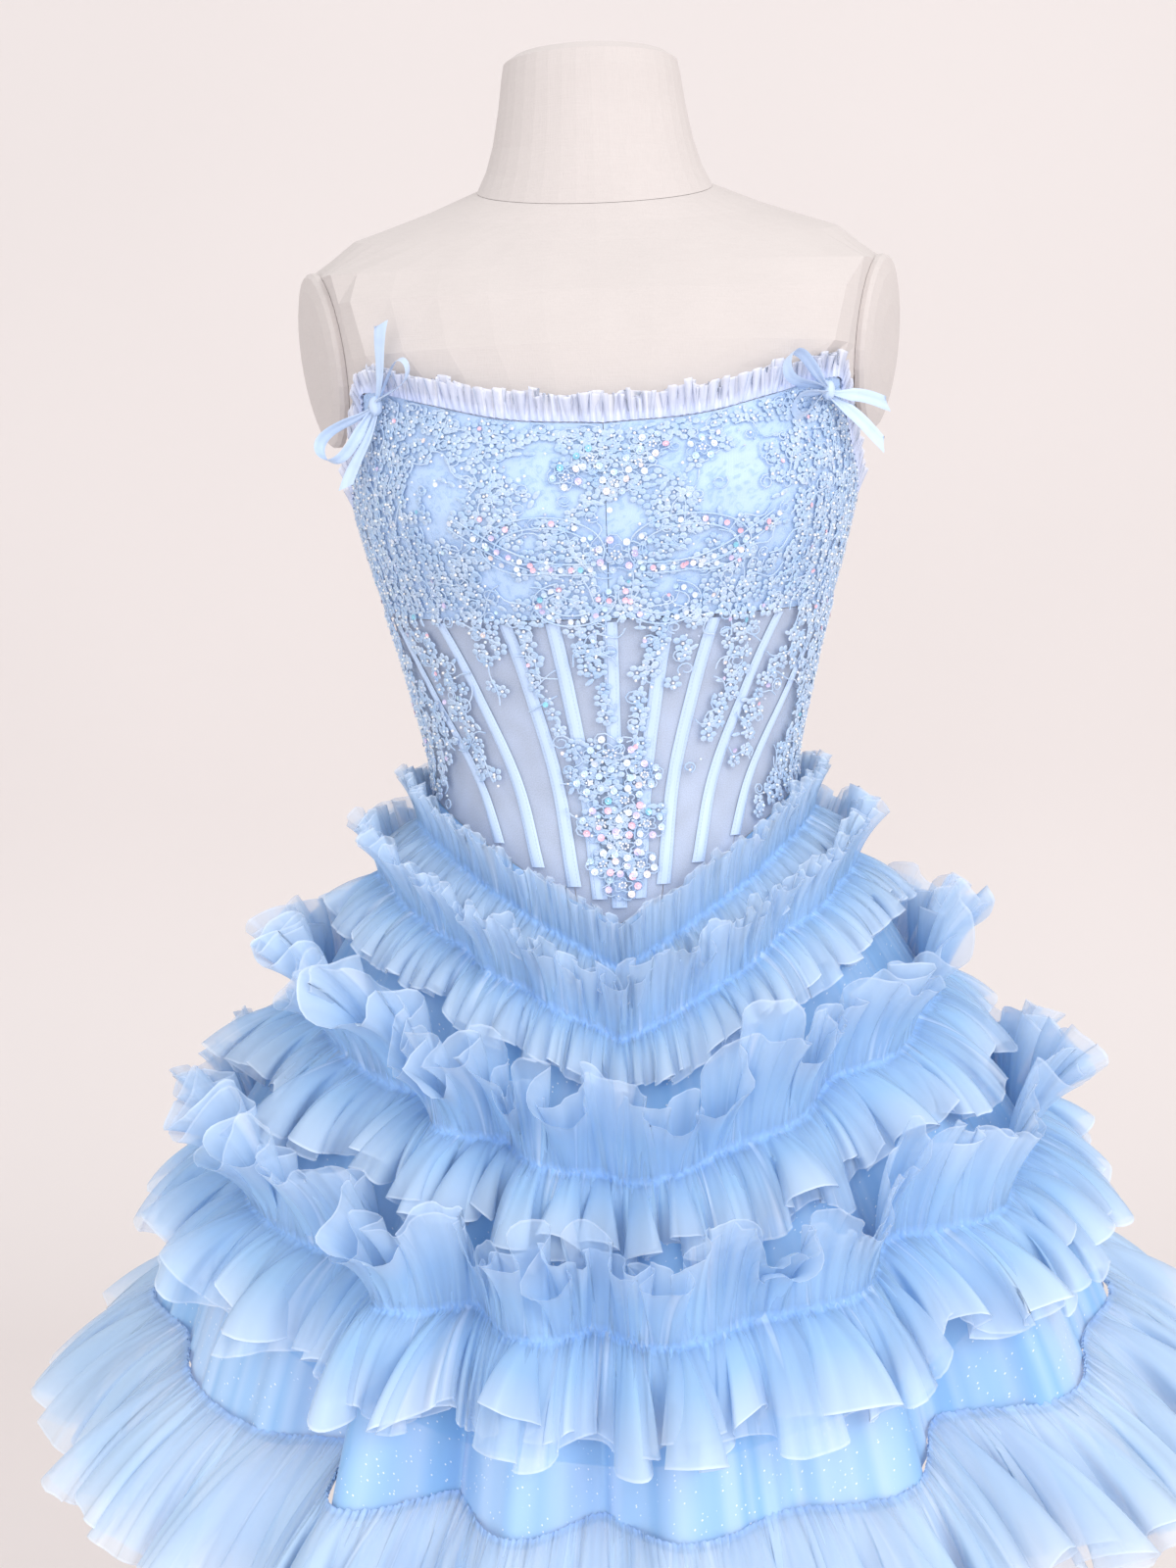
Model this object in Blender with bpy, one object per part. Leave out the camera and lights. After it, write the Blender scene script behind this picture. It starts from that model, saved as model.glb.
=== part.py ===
"""A strapless homecoming dress on a limbless dress form with a plain pole stand.

Metres, +Z up, the front faces -Y. The origin is the middle of the underside of the base.

The bodice lies on the figure of the form: cups, sheer mesh panels, boning channels along column
lines, and lace over them. The skirt hangs from a waist seam that dips to a point in front. Four
gathered tiers and a flounce are stitched to its overlay along lines that follow the same dip.
Angles are in degrees round the body, 0 at the centre front and positive to +X.
"""

import bisect
import math
from collections import namedtuple

import bmesh
import bpy
from mathutils import Vector

# Cloth
CLOTH = 0.0010  # thickness of every cloth wall
BONE_CLOTH = 0.0015  # satin channel with its bone inside
SEAM = 0.0004  # gap between pieces that are sewn edge to edge
LAYER = 0.0003  # gap between layers that lie on each other
OFF_FORM = 0.0018  # first layer, from the form
ON_PANEL = OFF_FORM + CLOTH + LAYER  # bust lace and the skirt's overlay
ON_MESH = ON_PANEL + 0.0004  # channels, a little more clear of the panels' facets
ON_BONES = ON_MESH + BONE_CLOTH + 2 * LAYER  # side and front lace, over the channels
BONE_WIDTH = 0.0070
ROUND = 360.0
FRONT_HALF = 90.0
WIDEST_CELL = 9.8  # most degrees between two columns of the bodice

# Figure of the form
WAIST_SIDE = 1.030  # waist seam at the sides
WAIST_DIP = 0.073  # how far the waist seam dips at the centre front
UNDERBUST = 1.143
UNDERBUST_RISE = 0.010  # how much higher the seam under the cups is at the sides
BUST_ANGLE, BUST_SPREAD = 34.0, 23.0
BUST_HEIGHT, BUST_TALL = 1.212, 0.050
BUST_OUT = 0.013
ARM_CUT = ((1.278, 0.1715), (1.377, 0.185))  # height and half-width of the flat cuts at the arms
ARM_TOE = 0.36  # how far the cuts turn to the front, as a slope
NECK_SEAM = 1.418

Section = namedtuple("Section", "height half_width front back tilt")
BODY = (
    Section(0.775, 0.140, 0.090, 0.105, 0.00),
    Section(0.787, 0.153, 0.099, 0.116, 0.00),
    Section(0.850, 0.169, 0.108, 0.128, 0.00),
    Section(0.930, 0.151, 0.106, 0.108, 0.00),
    Section(0.990, 0.127, 0.101, 0.090, 0.00),
    Section(1.040, 0.115, 0.094, 0.083, 0.00),
    Section(1.098, 0.126, 0.098, 0.090, 0.00),
    Section(1.137, 0.136, 0.105, 0.097, 0.00),
    Section(1.180, 0.149, 0.114, 0.105, 0.00),
    Section(1.224, 0.160, 0.118, 0.111, 0.00),
    Section(1.255, 0.163, 0.115, 0.114, 0.00),
    Section(1.280, 0.170, 0.111, 0.114, 0.00),
    Section(1.310, 0.205, 0.104, 0.114, 0.00),
    Section(1.345, 0.216, 0.090, 0.108, 0.05),
    Section(1.367, 0.210, 0.078, 0.098, 0.12),
    Section(1.390, 0.156, 0.067, 0.084, 0.25),
    Section(1.405, 0.109, 0.060, 0.071, 0.33),
    Section(NECK_SEAM, 0.076, 0.055, 0.061, 0.37),
)
NECK = (
    Section(NECK_SEAM + LAYER, 0.0758, 0.055, 0.061, 0.37),
    Section(1.431, 0.0695, 0.053, 0.059, 0.33),
    Section(1.447, 0.0645, 0.051, 0.058, 0.26),
    Section(1.470, 0.0600, 0.050, 0.057, 0.16),
    Section(1.488, 0.0575, 0.050, 0.056, 0.08),
    Section(1.496, 0.0560, 0.049, 0.055, 0.05),
    Section(1.500, 0.0500, 0.044, 0.050, 0.04),
)
FORM_COLUMNS = 40
FORM_FINE_LOW, FORM_FINE_HIGH = 0.950, 1.307  # where the bodice lies on the form
FORM_STEP = 0.017  # height between the rows there

# Stand
POLE_RADIUS = 0.0125
FLANGE_RADIUS, FLANGE_THICK = 0.045, 0.012
BASE_RADIUS, BASE_THICK, BASE_BEVEL = 0.165, 0.014, 0.003
PLATE_HALF_DEPTH, PLATE_HALF_HEIGHT = 0.050, 0.056
PLATE_HEIGHT, PLATE_BACK = 1.3150, 0.002  # the middle of the plates
PLATE_COLUMNS = 28
PlateRing = namedtuple("PlateRing", "size out")  # the plate's size and how far out it is there
PLATE_RINGS = (
    PlateRing(1.00, 0.0000),
    PlateRing(1.00, 0.0030),
    PlateRing(0.96, 0.0055),
    PlateRing(0.80, 0.0080),
    PlateRing(0.45, 0.0100),
)

# Neckline, from the centre front to the centre back
Edge = namedtuple("Edge", "angle height")
NECKLINE = (
    Edge(0.0, 1.2570),
    Edge(20.0, 1.2610),
    Edge(38.0, 1.2740),
    Edge(54.0, 1.2870),
    Edge(61.0, 1.2740),
    Edge(68.0, 1.2510),
    Edge(77.0, 1.2290),
    Edge(90.0, 1.2150),
    Edge(120.0, 1.2000),
    Edge(180.0, 1.1900),
)

# Column lines of the bodice: the angle at the underbust seam and at the waist seam
Line = namedtuple("Line", "number upper waist")
LINES = (
    Line(0, 0.0, 0.0),
    Line(1, 14.5, 4.5),
    Line(2, 27.0, 11.0),
    Line(3, 48.0, 21.0),
    Line(4, 74.0, 34.0),
    Line(5, 118.0, 112.0),
    Line(6, 152.0, 152.0),
    Line(7, 180.0, 180.0),
)
LAST_LINE = 7
BODICE_ROWS = 5  # rows from the underbust seam to the waist seam
UPPER_ROWS = 6  # rows from the neckline to the underbust seam

# Bodice panels: the column lines they run between, and whether they reach up to the neckline
Panel = namedtuple("Panel", "name start end full")
PANELS = (
    Panel("mesh_front_centre", -2, 2, False),
    Panel("mesh_front_left", -4, -2, False),
    Panel("mesh_front_right", 2, 4, False),
    Panel("mesh_side_left", -5, -4, True),
    Panel("mesh_side_right", 4, 5, True),
    Panel("mesh_back_left", -7, -5, True),
    Panel("mesh_back_right", 5, 7, True),
)
BONE_LINES = (0, 1, 2, 3, 4, 5, 6)

# Side lace: its lower edge, as the share of the way from the underbust to the waist on each line
LaceEdge = namedtuple("LaceEdge", "line reach")
SIDE_LACE = (
    LaceEdge(4.00, 0.60),
    LaceEdge(4.25, 0.92),
    LaceEdge(4.50, 0.86),
    LaceEdge(4.75, 0.93),
    LaceEdge(5.00, 0.80),
    LaceEdge(5.50, 0.60),
)
SIDE_LACE_ROWS = 2  # rows from the underbust seam before the ragged edge
SPRAY_HALF = 1.7  # half-width of the front spray, in column lines
SPRAY_TOP_ROW, SPRAY_LOW = 2, 0.96
SPRAY_CELLS = 4

# Neckline frill
FRILL_HEIGHT, FRILL_LEAN, FRILL_FLUTE = 0.0140, 0.0018, 0.0022
FRILL_GAP = 0.0014  # from the sloping top edge

# Zip at the centre back
ZIP_HALF = 0.0017
ZIP_OPENING = 0.0022  # half the gap that the zip lies in
ZIP_BELOW_WAIST = 0.120
SLIDER = Vector((0.0080, 0.0024, 0.0110))  # width, depth and height of the slider's plate
SLIDER_DROP = 0.0160  # from the top edge down to the slider's middle
PIN_RADIUS, PIN_OUT = 0.0008, 0.0030  # the pull's pin, and its axis from the plate's face
PIN_SHARE = 0.12  # how far up the plate the pin sits, as a share of its height
EAR_WIDTH, EAR_HALF = 0.0012, 0.0022
RING_OUTER, RING_HOLE = 0.0021, 0.0012
RING_STEPS = 14
PULL_LENGTH, PULL_THICK, PULL_WIDTH = 0.0220, 0.0013, 0.0044

# Skirt: how far each level lies below the waist seam at the sides, how far the skirt has spread
# from the waist there, how far its lines dip in front, how sharp that dip is, and the fold depth
Level = namedtuple("Level", "below side front back dip sharp fold")
SKIRT = (
    Level(0.000, 0.000, 0.000, 0.000, WAIST_DIP, 1.00, 0.000),
    Level(0.018, 0.008, 0.006, 0.010, 0.085, 1.00, 0.000),
    Level(0.051, 0.033, 0.029, 0.042, 0.091, 1.05, 0.004),
    Level(0.133, 0.082, 0.077, 0.095, 0.082, 1.25, 0.012),
    Level(0.223, 0.138, 0.136, 0.152, 0.064, 1.45, 0.021),
    Level(0.320, 0.181, 0.176, 0.195, 0.054, 1.60, 0.027),
    Level(0.420, 0.207, 0.203, 0.220, 0.038, 1.70, 0.030),
)
Fold = namedtuple("Fold", "angle reach")  # reach: 1 on a full ridge, -1 in a full valley
FOLDS = (
    Fold(-180, 0.5),
    Fold(-164, -0.7),
    Fold(-147, 0.8),
    Fold(-130, -0.6),
    Fold(-113, 0.7),
    Fold(-98, -0.3),
    Fold(-84, 0.5),
    Fold(-70, -0.2),
    Fold(-57, 0.3),
    Fold(-44, 0.1),
    Fold(-35, -1.0),
    Fold(-28, 1.2),
    Fold(-20, -0.8),
    Fold(-12, 0.7),
    Fold(-4, -0.9),
    Fold(4, 0.6),
    Fold(14, 0.0),
    Fold(25, 0.8),
    Fold(37, -1.0),
    Fold(48, 0.9),
    Fold(61, 0.2),
    Fold(74, 0.4),
    Fold(88, -0.4),
    Fold(102, 0.6),
    Fold(117, -0.7),
    Fold(133, 0.7),
    Fold(149, -0.6),
    Fold(165, 0.7),
    Fold(180, 0.5),
)
SKIRT_ROWS = (SEAM, 0.018, 0.051, 0.133, 0.223, 0.326)
LINING_COLUMNS = 24
LINING_ROWS = (0.0014, 0.018, 0.051, 0.133, 0.223, 0.300)
OPEN_ROWS = 4  # rows of the skirt that the zip leaves open
LINING_SPREAD = 0.80  # the lining's spread beside the overlay's
ON_LINING = ON_PANEL + 0.0004
ON_SKIRT = ON_LINING + CLOTH + LAYER

# Tiers: the frill above and below the stitching, each with its length and its lean from upright
Tier = namedtuple("Tier", "name below header header_lean frill frill_lean flute split")
TIERS = (
    Tier("tier_1", 0.018, 0.026, 12.0, 0.030, 48.0, 0.0035, True),
    Tier("tier_2", 0.051, 0.036, 18.0, 0.041, 52.0, 0.0050, True),
    Tier("tier_3", 0.133, 0.052, 6.0, 0.056, 55.0, 0.0090, True),
    Tier("tier_4", 0.223, 0.050, 2.0, 0.066, 50.0, 0.0100, False),
    Tier("tier_5", 0.320, 0.000, 0.0, 0.097, 48.0, 0.0140, False),
)
FLUTE_MIX = ((1.0, 0.5), (2.3, 0.3), (5.9, 0.2))  # how unevenly the flutes swell: rate, share

# Bows: where the knot sits, and each loop and tail as a direction in the plane of the cloth
BOW_ANGLE, BOW_BELOW_EDGE = 51.0, 0.0080
BOW_FACING = 32.0  # the direction that the bows face
RIBBON_WIDTH = 0.0080
RIBBON_PINCH = 0.35  # the ribbon's width at the knot, beside its full width
PINCH_LENGTH = 0.35  # the share of a strand along which it widens
KNOT = Vector((0.0085, 0.0080, 0.0110))  # width, depth and height
LOOP_STEPS, TAIL_STEPS = 10, 2
Strand = namedtuple("Strand", "name turn length opening layer lift")
BOWS = {  # turn is from upright towards +X, and the layer is out from the knot's middle
    "left": (
        Strand("loop_upper", 58.0, 0.040, 0.007, 0.0022, 0.010),
        Strand("loop_lower", 228.0, 0.044, 0.009, 0.0012, 0.012),
        Strand("tail_upper", 20.0, 0.049, 0.0, 0.0006, 0.011),
        Strand("tail_lower", 203.0, 0.053, 0.0, -0.0022, 0.008),
    ),
    "right": (
        Strand("loop_upper", -68.0, 0.042, 0.008, 0.0016, 0.010),
        Strand("loop_lower", -112.0, 0.036, 0.006, 0.0012, 0.008),
        Strand("tail_upper", 101.0, 0.040, 0.0, 0.0008, 0.008),
        Strand("tail_lower", 131.0, 0.049, 0.0, -0.0022, 0.010),
    ),
}

# Materials: colour, roughness, metallic
PALE_BLUE = ((0.55, 0.72, 0.93), 0.45, 0.0)
TULLE_BLUE = ((0.62, 0.78, 0.96), 0.70, 0.0)
LINING_BLUE = ((0.30, 0.55, 0.92), 0.60, 0.0)
LACE_BLUE = ((0.42, 0.62, 0.84), 0.60, 0.0)
SHEER_GREY = ((0.70, 0.72, 0.82), 0.60, 0.0)
LINEN = ((0.86, 0.80, 0.75), 0.85, 0.0)
STAND_WHITE = ((0.80, 0.78, 0.75), 0.40, 0.0)
STEEL = ((0.75, 0.77, 0.80), 0.30, 1.0)


def clear_scene():
    for obj in list(bpy.data.objects):
        bpy.data.objects.remove(obj)


def paint(obj, look):
    colour, roughness, metallic = look
    material = bpy.data.materials.new(obj.name)
    material.use_nodes = True
    shader = material.node_tree.nodes["Principled BSDF"]
    shader.inputs["Base Color"].default_value = (*colour, 1.0)
    shader.inputs["Roughness"].default_value = roughness
    shader.inputs["Metallic"].default_value = metallic
    material.diffuse_color = (*colour, 1.0)
    obj.data.materials.clear()
    obj.data.materials.append(material)


def object_from(bm, name, look, sharp=40.0):
    bmesh.ops.recalc_face_normals(bm, faces=bm.faces)
    if bm.calc_volume(signed=True) < 0:
        bmesh.ops.reverse_faces(bm, faces=bm.faces)
    mesh = bpy.data.meshes.new(name)
    bm.to_mesh(mesh)
    bm.free()
    obj = bpy.data.objects.new(name, mesh)
    bpy.context.scene.collection.objects.link(obj)
    mesh.shade_smooth()
    mesh.set_sharp_from_angle(angle=math.radians(sharp))
    paint(obj, look)
    return obj


def smooth(table, key, value, place):
    """The value column of a table at a place on its key column, on a smooth curve through the rows."""
    keys = [getattr(row, key) for row in table]
    values = [getattr(row, value) for row in table]
    place = min(max(place, keys[0]), keys[-1])
    i = min(max(bisect.bisect_right(keys, place) - 1, 0), len(keys) - 2)

    def slope(j):
        before, after = max(j - 1, 0), min(j + 1, len(keys) - 1)
        return (values[after] - values[before]) / (keys[after] - keys[before])

    step = keys[i + 1] - keys[i]
    p = (place - keys[i]) / step
    ends = (2 * p**3 - 3 * p**2 + 1) * values[i] + (3 * p**2 - 2 * p**3) * values[i + 1]
    return ends + step * ((p**3 - 2 * p**2 + p) * slope(i) + (p**3 - p**2) * slope(i + 1))


def mix(low, high, share):
    return low + (high - low) * share


def ring_point(table, height, angle):
    """A point on an upright form given by sections: an ellipse with its own front and back depth."""
    turn = math.radians(angle)
    depth = smooth(table, "height", "front" if math.cos(turn) > 0 else "back", height)
    x = smooth(table, "height", "half_width", height) * math.sin(turn)
    y = -depth * math.cos(turn)
    return Vector((x, y, height + smooth(table, "height", "tilt", height) * y))


def figure(height, angle):
    """A point of the figure's surface, with the bust rounded out and the arms cut flat."""
    point = ring_point(BODY, height, angle)
    turn = math.radians(angle)
    across = (abs(angle) - BUST_ANGLE) / BUST_SPREAD
    up = (height - BUST_HEIGHT) / BUST_TALL
    bust = BUST_OUT * math.exp(-(across**2) - up**2)
    point += Vector((math.sin(turn), -math.cos(turn), 0.0)) * bust
    if height > ARM_CUT[0][0]:
        most = arm_cut(point.z) + ARM_TOE * point.y
        point.x = max(-most, min(most, point.x))
    return point


def arm_cut(height):
    """Half-width between the arm cuts at a height, in the plane of the sides."""
    (low, low_width), (high, high_width) = ARM_CUT
    return mix(low_width, high_width, (height - low) / (high - low))


def moved_out(surface, down, angle, out):
    """A point of a surface(down, angle), moved out along the surface's own normal."""
    point = surface(down, angle)
    if out == 0.0:
        return point
    step, turn = 0.0005, 0.2
    along = surface(down, angle + turn) - surface(down, angle - turn)
    rise = surface(down + step, angle) - surface(down - step, angle)
    normal = along.cross(rise).normalized()
    if normal.x * point.x + normal.y * point.y < 0:
        normal = -normal
    return point + normal * out


def neckline(angle):
    return smooth(NECKLINE, "angle", "height", abs(angle))


def underbust(angle):
    return UNDERBUST + UNDERBUST_RISE * min(abs(angle) / FRONT_HALF, 1.0) ** 2


def dip_share(angle, sharp=1.0):
    """1 at the centre front, falling to 0 at the sides and behind."""
    if abs(angle) >= FRONT_HALF:
        return 0.0
    return 1.0 - abs(math.sin(math.radians(angle))) ** sharp


def waist(angle):
    return WAIST_SIDE - WAIST_DIP * dip_share(angle)


def bodice_place(line, level):
    """Height and angle of a place on the bodice. Level -1 is the neckline, 0 the underbust seam
    and 1 the waist seam."""
    side = math.copysign(1.0, line)
    upper = side * smooth_line(abs(line), "upper")
    if level < 0:
        return mix(underbust(upper), neckline(upper), -level), upper
    lower = side * smooth_line(abs(line), "waist")
    angle = mix(upper, lower, level)
    return mix(underbust(upper), waist(lower), level), angle


def smooth_line(number, column):
    """The angle of a column line, straight between the lines of the table."""
    low = min(int(number), LAST_LINE - 1)
    return mix(getattr(LINES[low], column), getattr(LINES[low + 1], column), number - low)


def bodice_point(line, level, out, shift=0.0):
    """A point of the bodice, out from the form, and shifted by a length to +X round it."""
    height, angle = bodice_place(line, level)
    around = ring_point(BODY, height, angle)
    angle += math.degrees(shift / max(math.hypot(around.x, around.y), CLOTH))
    return moved_out(figure, height, angle, out)


def wall(name, grid, look, thick=CLOTH, closed=False, slit=0):
    """A sheet of rows of points, made into a wall on its outer side. A closed sheet joins its last
    column to its first, and a slit leaves that join open down its first rows."""
    bm = bmesh.new()
    rows = [[bm.verts.new(point) for point in row] for row in grid]
    if closed:
        for i, row in enumerate(rows):
            if i < slit:
                continue
            bm.verts.remove(row[-1])
            row[-1] = row[0]
    for upper, lower in zip(rows, rows[1:]):
        for j in range(len(upper) - 1):
            bm.faces.new((upper[j], lower[j], lower[j + 1], upper[j + 1]))
    mesh = bpy.data.meshes.new(name)
    bm.to_mesh(mesh)
    bm.free()
    obj = bpy.data.objects.new(name, mesh)
    bpy.context.scene.collection.objects.link(obj)
    mesh.shade_smooth()
    solid = obj.modifiers.new("Cloth", "SOLIDIFY")
    solid.thickness = thick
    solid.offset = 1.0
    paint(obj, look)
    return obj


def columns(start, end):
    """Line numbers from one column line to another, close enough together to follow the figure."""
    places = []
    for low in range(start, end):
        first, last = sorted((abs(low), abs(low + 1)))
        spans = (smooth_line(last, part) - smooth_line(first, part) for part in ("upper", "waist"))
        cells = math.ceil(max(spans) / WIDEST_CELL)
        places += [low + j / cells for j in range(cells)]
    return places + [end]


def bodice_grid(lines, levels, out):
    """Rows of points from the top level down, along column lines and clear of both outer ones."""
    half_seams = []
    for line in (lines[0], lines[-1]):
        half_seams.append(ZIP_OPENING if abs(line) == LAST_LINE else SEAM / 2)
    shifts = [half_seams[0]] + [0.0] * (len(lines) - 2) + [-half_seams[1]]
    return [
        [bodice_point(line, level, out, shift) for line, shift in zip(lines, shifts)]
        for level in levels
    ]


def upper_levels():
    return [-1.0 + i / UPPER_ROWS for i in range(UPPER_ROWS + 1)]


def lower_levels(first=0.0, last=1.0):
    return [first] + [i / BODICE_ROWS for i in range(1, BODICE_ROWS)] + [last]


def make_panels():
    seam = SEAM / (UNDERBUST - WAIST_SIDE)
    for panel in PANELS:
        levels = upper_levels()[:-1] + lower_levels() if panel.full else lower_levels(seam)
        grid = bodice_grid(columns(panel.start, panel.end), levels, OFF_FORM)
        wall(panel.name, grid, SHEER_GREY)


def make_cups():
    for side, start, end in (("left", -4, 0), ("right", 0, 4)):
        lines = columns(start, end)
        wall("cup_" + side, bodice_grid(lines, upper_levels(), OFF_FORM), PALE_BLUE)
        wall("lace_bust_" + side, bodice_grid(lines, upper_levels(), ON_PANEL), LACE_BLUE)


def make_bones():
    half = BONE_WIDTH / 2
    low_end = 0.95  # clear of the slanting waist seam
    for number in BONE_LINES:
        levels = lower_levels(0.01, low_end)
        if number > 4:
            levels = upper_levels()[:-1] + lower_levels(0.0, low_end)
        for side in (1,) if number == 0 else (-1, 1):
            grid = []
            for level in levels:
                edges = [bodice_point(side * number, level, ON_MESH, at) for at in (-half, half)]
                grid.append(edges)
            place = "" if number == 0 else "_left" if side < 0 else "_right"
            wall(f"bone_{number}{place}", grid, PALE_BLUE, BONE_CLOTH)


def side_lace_grid(side):
    """Side lace, from the neckline down to its ragged lower edge."""
    last = SIDE_LACE[-1].line
    lines = [line for line in columns(4, 6) if line <= last]
    grid = []
    for level in upper_levels() + [i / BODICE_ROWS for i in range(1, SIDE_LACE_ROWS + 1)] + [None]:
        row = []
        for line in lines:
            reach = smooth(SIDE_LACE, "line", "reach", line)
            place = reach if level is None else level
            shift = side * SEAM if line == 4 else 0.0
            row.append(bodice_point(side * line, place, ON_BONES, shift))
        grid.append(row if side > 0 else row[::-1])
    return grid


def make_lace():
    wall("lace_side_left", side_lace_grid(-1), LACE_BLUE)
    wall("lace_side_right", side_lace_grid(1), LACE_BLUE)
    grid = []
    levels = lower_levels(last=SPRAY_LOW)[SPRAY_TOP_ROW:]
    for i, level in enumerate(levels):
        share = i / (len(levels) - 1)
        half = SPRAY_HALF * (0.4 + 0.6 * math.sin(math.pi * (0.15 + 0.7 * share)))
        places = [mix(-half, half, j / SPRAY_CELLS) for j in range(SPRAY_CELLS + 1)]
        grid.append([bodice_point(place, level, ON_BONES) for place in places])
    wall("lace_front_spray", grid, LACE_BLUE)


def flute(place):
    """How far a flute swells out: every other column stays in, and the swelling is uneven."""
    if place % 2 == 0:
        return 0.0
    swell = sum(share * math.sin(rate * place + rate) for rate, share in FLUTE_MIX)
    return 0.8 + 0.4 * swell


def make_frill():
    """The gathered tulle that stands up along the top edge."""
    lines = columns(-LAST_LINE, LAST_LINE)
    base, top = [], []
    for j, line in enumerate(lines):
        shift = ZIP_OPENING if j == 0 else -ZIP_OPENING if j == len(lines) - 1 else 0.0
        foot = bodice_point(line, -1.0, OFF_FORM + 2 * LAYER, shift)
        base.append(foot + Vector((0.0, 0.0, FRILL_GAP)))
        height, angle = bodice_place(line, -1.0)
        outward = (foot - figure(height, angle)).normalized()
        out = OFF_FORM + FRILL_LEAN + FRILL_FLUTE * flute(j)
        tip = figure(height + FRILL_HEIGHT, angle) + outward * out
        if shift:
            tip.x = foot.x
        top.append(tip)
    wall("neckline_frill", [top, base], TULLE_BLUE)


def skirt(below, angle, spread=1.0, fold=1.0):
    """A point of the skirt. Below is the distance under the waist seam at the sides."""
    rim = figure(waist(angle), angle)
    turn = math.radians(angle)
    depth = smooth(SKIRT, "below", "front" if math.cos(turn) > 0 else "back", below)
    x = rim.x + spread * smooth(SKIRT, "below", "side", below) * math.sin(turn)
    y = rim.y - spread * depth * math.cos(turn)
    dip = smooth(SKIRT, "below", "dip", below)
    sharp = smooth(SKIRT, "below", "sharp", below)
    wave = smooth(SKIRT, "below", "fold", below) * fold
    wave *= smooth(FOLDS, "angle", "reach", (angle + ROUND / 2) % ROUND - ROUND / 2)
    z = WAIST_SIDE - below - dip * dip_share(angle, sharp)
    return Vector((x + wave * math.sin(turn), y - wave * math.cos(turn), z))


def overlay(below, angle):
    return skirt(below, angle)


def lining(below, angle):
    return skirt(below, angle, LINING_SPREAD, 0.0)


def skirt_angles():
    """The angle of every fold of the skirt, and halfway between each two."""
    angles = []
    for fold, after in zip(FOLDS, FOLDS[1:]):
        angles += [fold.angle, (fold.angle + after.angle) / 2]
    return angles + [FOLDS[-1].angle]


def round_grid(surface, levels, angles, out):
    """Rows round the body from centre back to centre back, with a gap for the zip at the top."""
    grid = []
    for i, level in enumerate(levels):
        row = [moved_out(surface, level, angle, out) for angle in angles]
        if i < OPEN_ROWS:
            row[0].x, row[-1].x = -ZIP_OPENING, ZIP_OPENING
        grid.append(row)
    return grid


def make_skirt():
    angles = [-ROUND / 2 + ROUND * j / LINING_COLUMNS for j in range(LINING_COLUMNS + 1)]
    grid = round_grid(lining, LINING_ROWS, angles, OFF_FORM)
    wall("skirt_lining", grid, LINING_BLUE, closed=True, slit=OPEN_ROWS)
    grid = round_grid(overlay, SKIRT_ROWS, skirt_angles(), ON_LINING)
    wall("skirt_overlay", grid, TULLE_BLUE, closed=True, slit=OPEN_ROWS)


def tier_point(tier, along, angle, place):
    """A point of a tier, at a distance from its stitching: upwards if negative."""
    seat = moved_out(overlay, tier.below, angle, ON_SKIRT)
    if along == 0.0:
        return seat
    lean = math.radians(tier.header_lean if along < 0 else tier.frill_lean)
    turn = math.radians(angle)
    length = abs(along)
    reach = math.sin(lean) * length
    reach += tier.flute * flute(place) * length / max(tier.header, tier.frill)
    rise = math.cos(lean) * length * (1.0 if along < 0 else -1.0)
    return seat + Vector((math.sin(turn) * reach, -math.cos(turn) * reach, rise))


def make_tiers():
    angles = skirt_angles()
    for tier in TIERS:
        places = [-tier.header, 0.0, tier.frill] if tier.header else [0.0, tier.frill / 2, tier.frill]
        grid = []
        for along in places:
            row = [tier_point(tier, along, angle, j) for j, angle in enumerate(angles)]
            if tier.split:
                row[0].x, row[-1].x = -ZIP_OPENING, ZIP_OPENING
            grid.append(row)
        wall(tier.name, grid, TULLE_BLUE, closed=not tier.split)


def bow_frame(side):
    """The middle of a bow's knot, and the directions out, across and up there."""
    hand = 1 if side == "right" else -1
    angle = BOW_ANGLE * hand
    height = neckline(angle) - BOW_BELOW_EDGE
    middle = moved_out(figure, height, angle, ON_PANEL + CLOTH + 3.5 * LAYER + KNOT.x / 2)
    facing = math.radians(BOW_FACING)
    out = Vector((hand * math.sin(facing), -math.cos(facing), 0.0))
    up = Vector((0.0, 0.0, 1.0))
    return middle, out, up.cross(out), up


def knot_reach(turn, layer):
    """How far the rounded knot reaches from its middle in a direction, at a layer of its depth."""
    reach = 1 / math.hypot(math.sin(turn) / (KNOT.x / 2), math.cos(turn) / (KNOT.z / 2))
    return reach * math.sqrt(1 - (layer / (KNOT.y / 2)) ** 2)


def ribbon(strand, middle, out, across, up):
    """The two edges of a ribbon strand, row by row, from the knot outwards and, in a loop, back."""
    turn = math.radians(strand.turn)
    along = across * math.sin(turn) + up * math.cos(turn)
    beside = along.cross(out).normalized()
    start = knot_reach(turn, 0.0 if strand.opening else strand.layer) + LAYER + CLOTH / 2
    steps = LOOP_STEPS if strand.opening else TAIL_STEPS
    rows = []
    for i in range(steps + 1):
        part = i / steps
        share = math.sin(math.pi * part) ** 0.8 if strand.opening else part
        share = max(share, 0.0)
        reach = mix(start, strand.length, share)
        centre = middle + along * reach + out * (strand.layer + strand.lift * share)
        flat = beside
        if strand.opening:
            centre += beside * strand.opening * math.sin(2 * math.pi * part)
            centre += out * CLOTH * 1.3 * (1 - 2 * part)
            flat = (out * 0.8 + beside * 0.4).normalized()
        width = RIBBON_WIDTH * mix(RIBBON_PINCH, 1.0, min(share / PINCH_LENGTH, 1.0))
        rows.append([centre - flat * width / 2, centre + flat * width / 2])
    return rows


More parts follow.
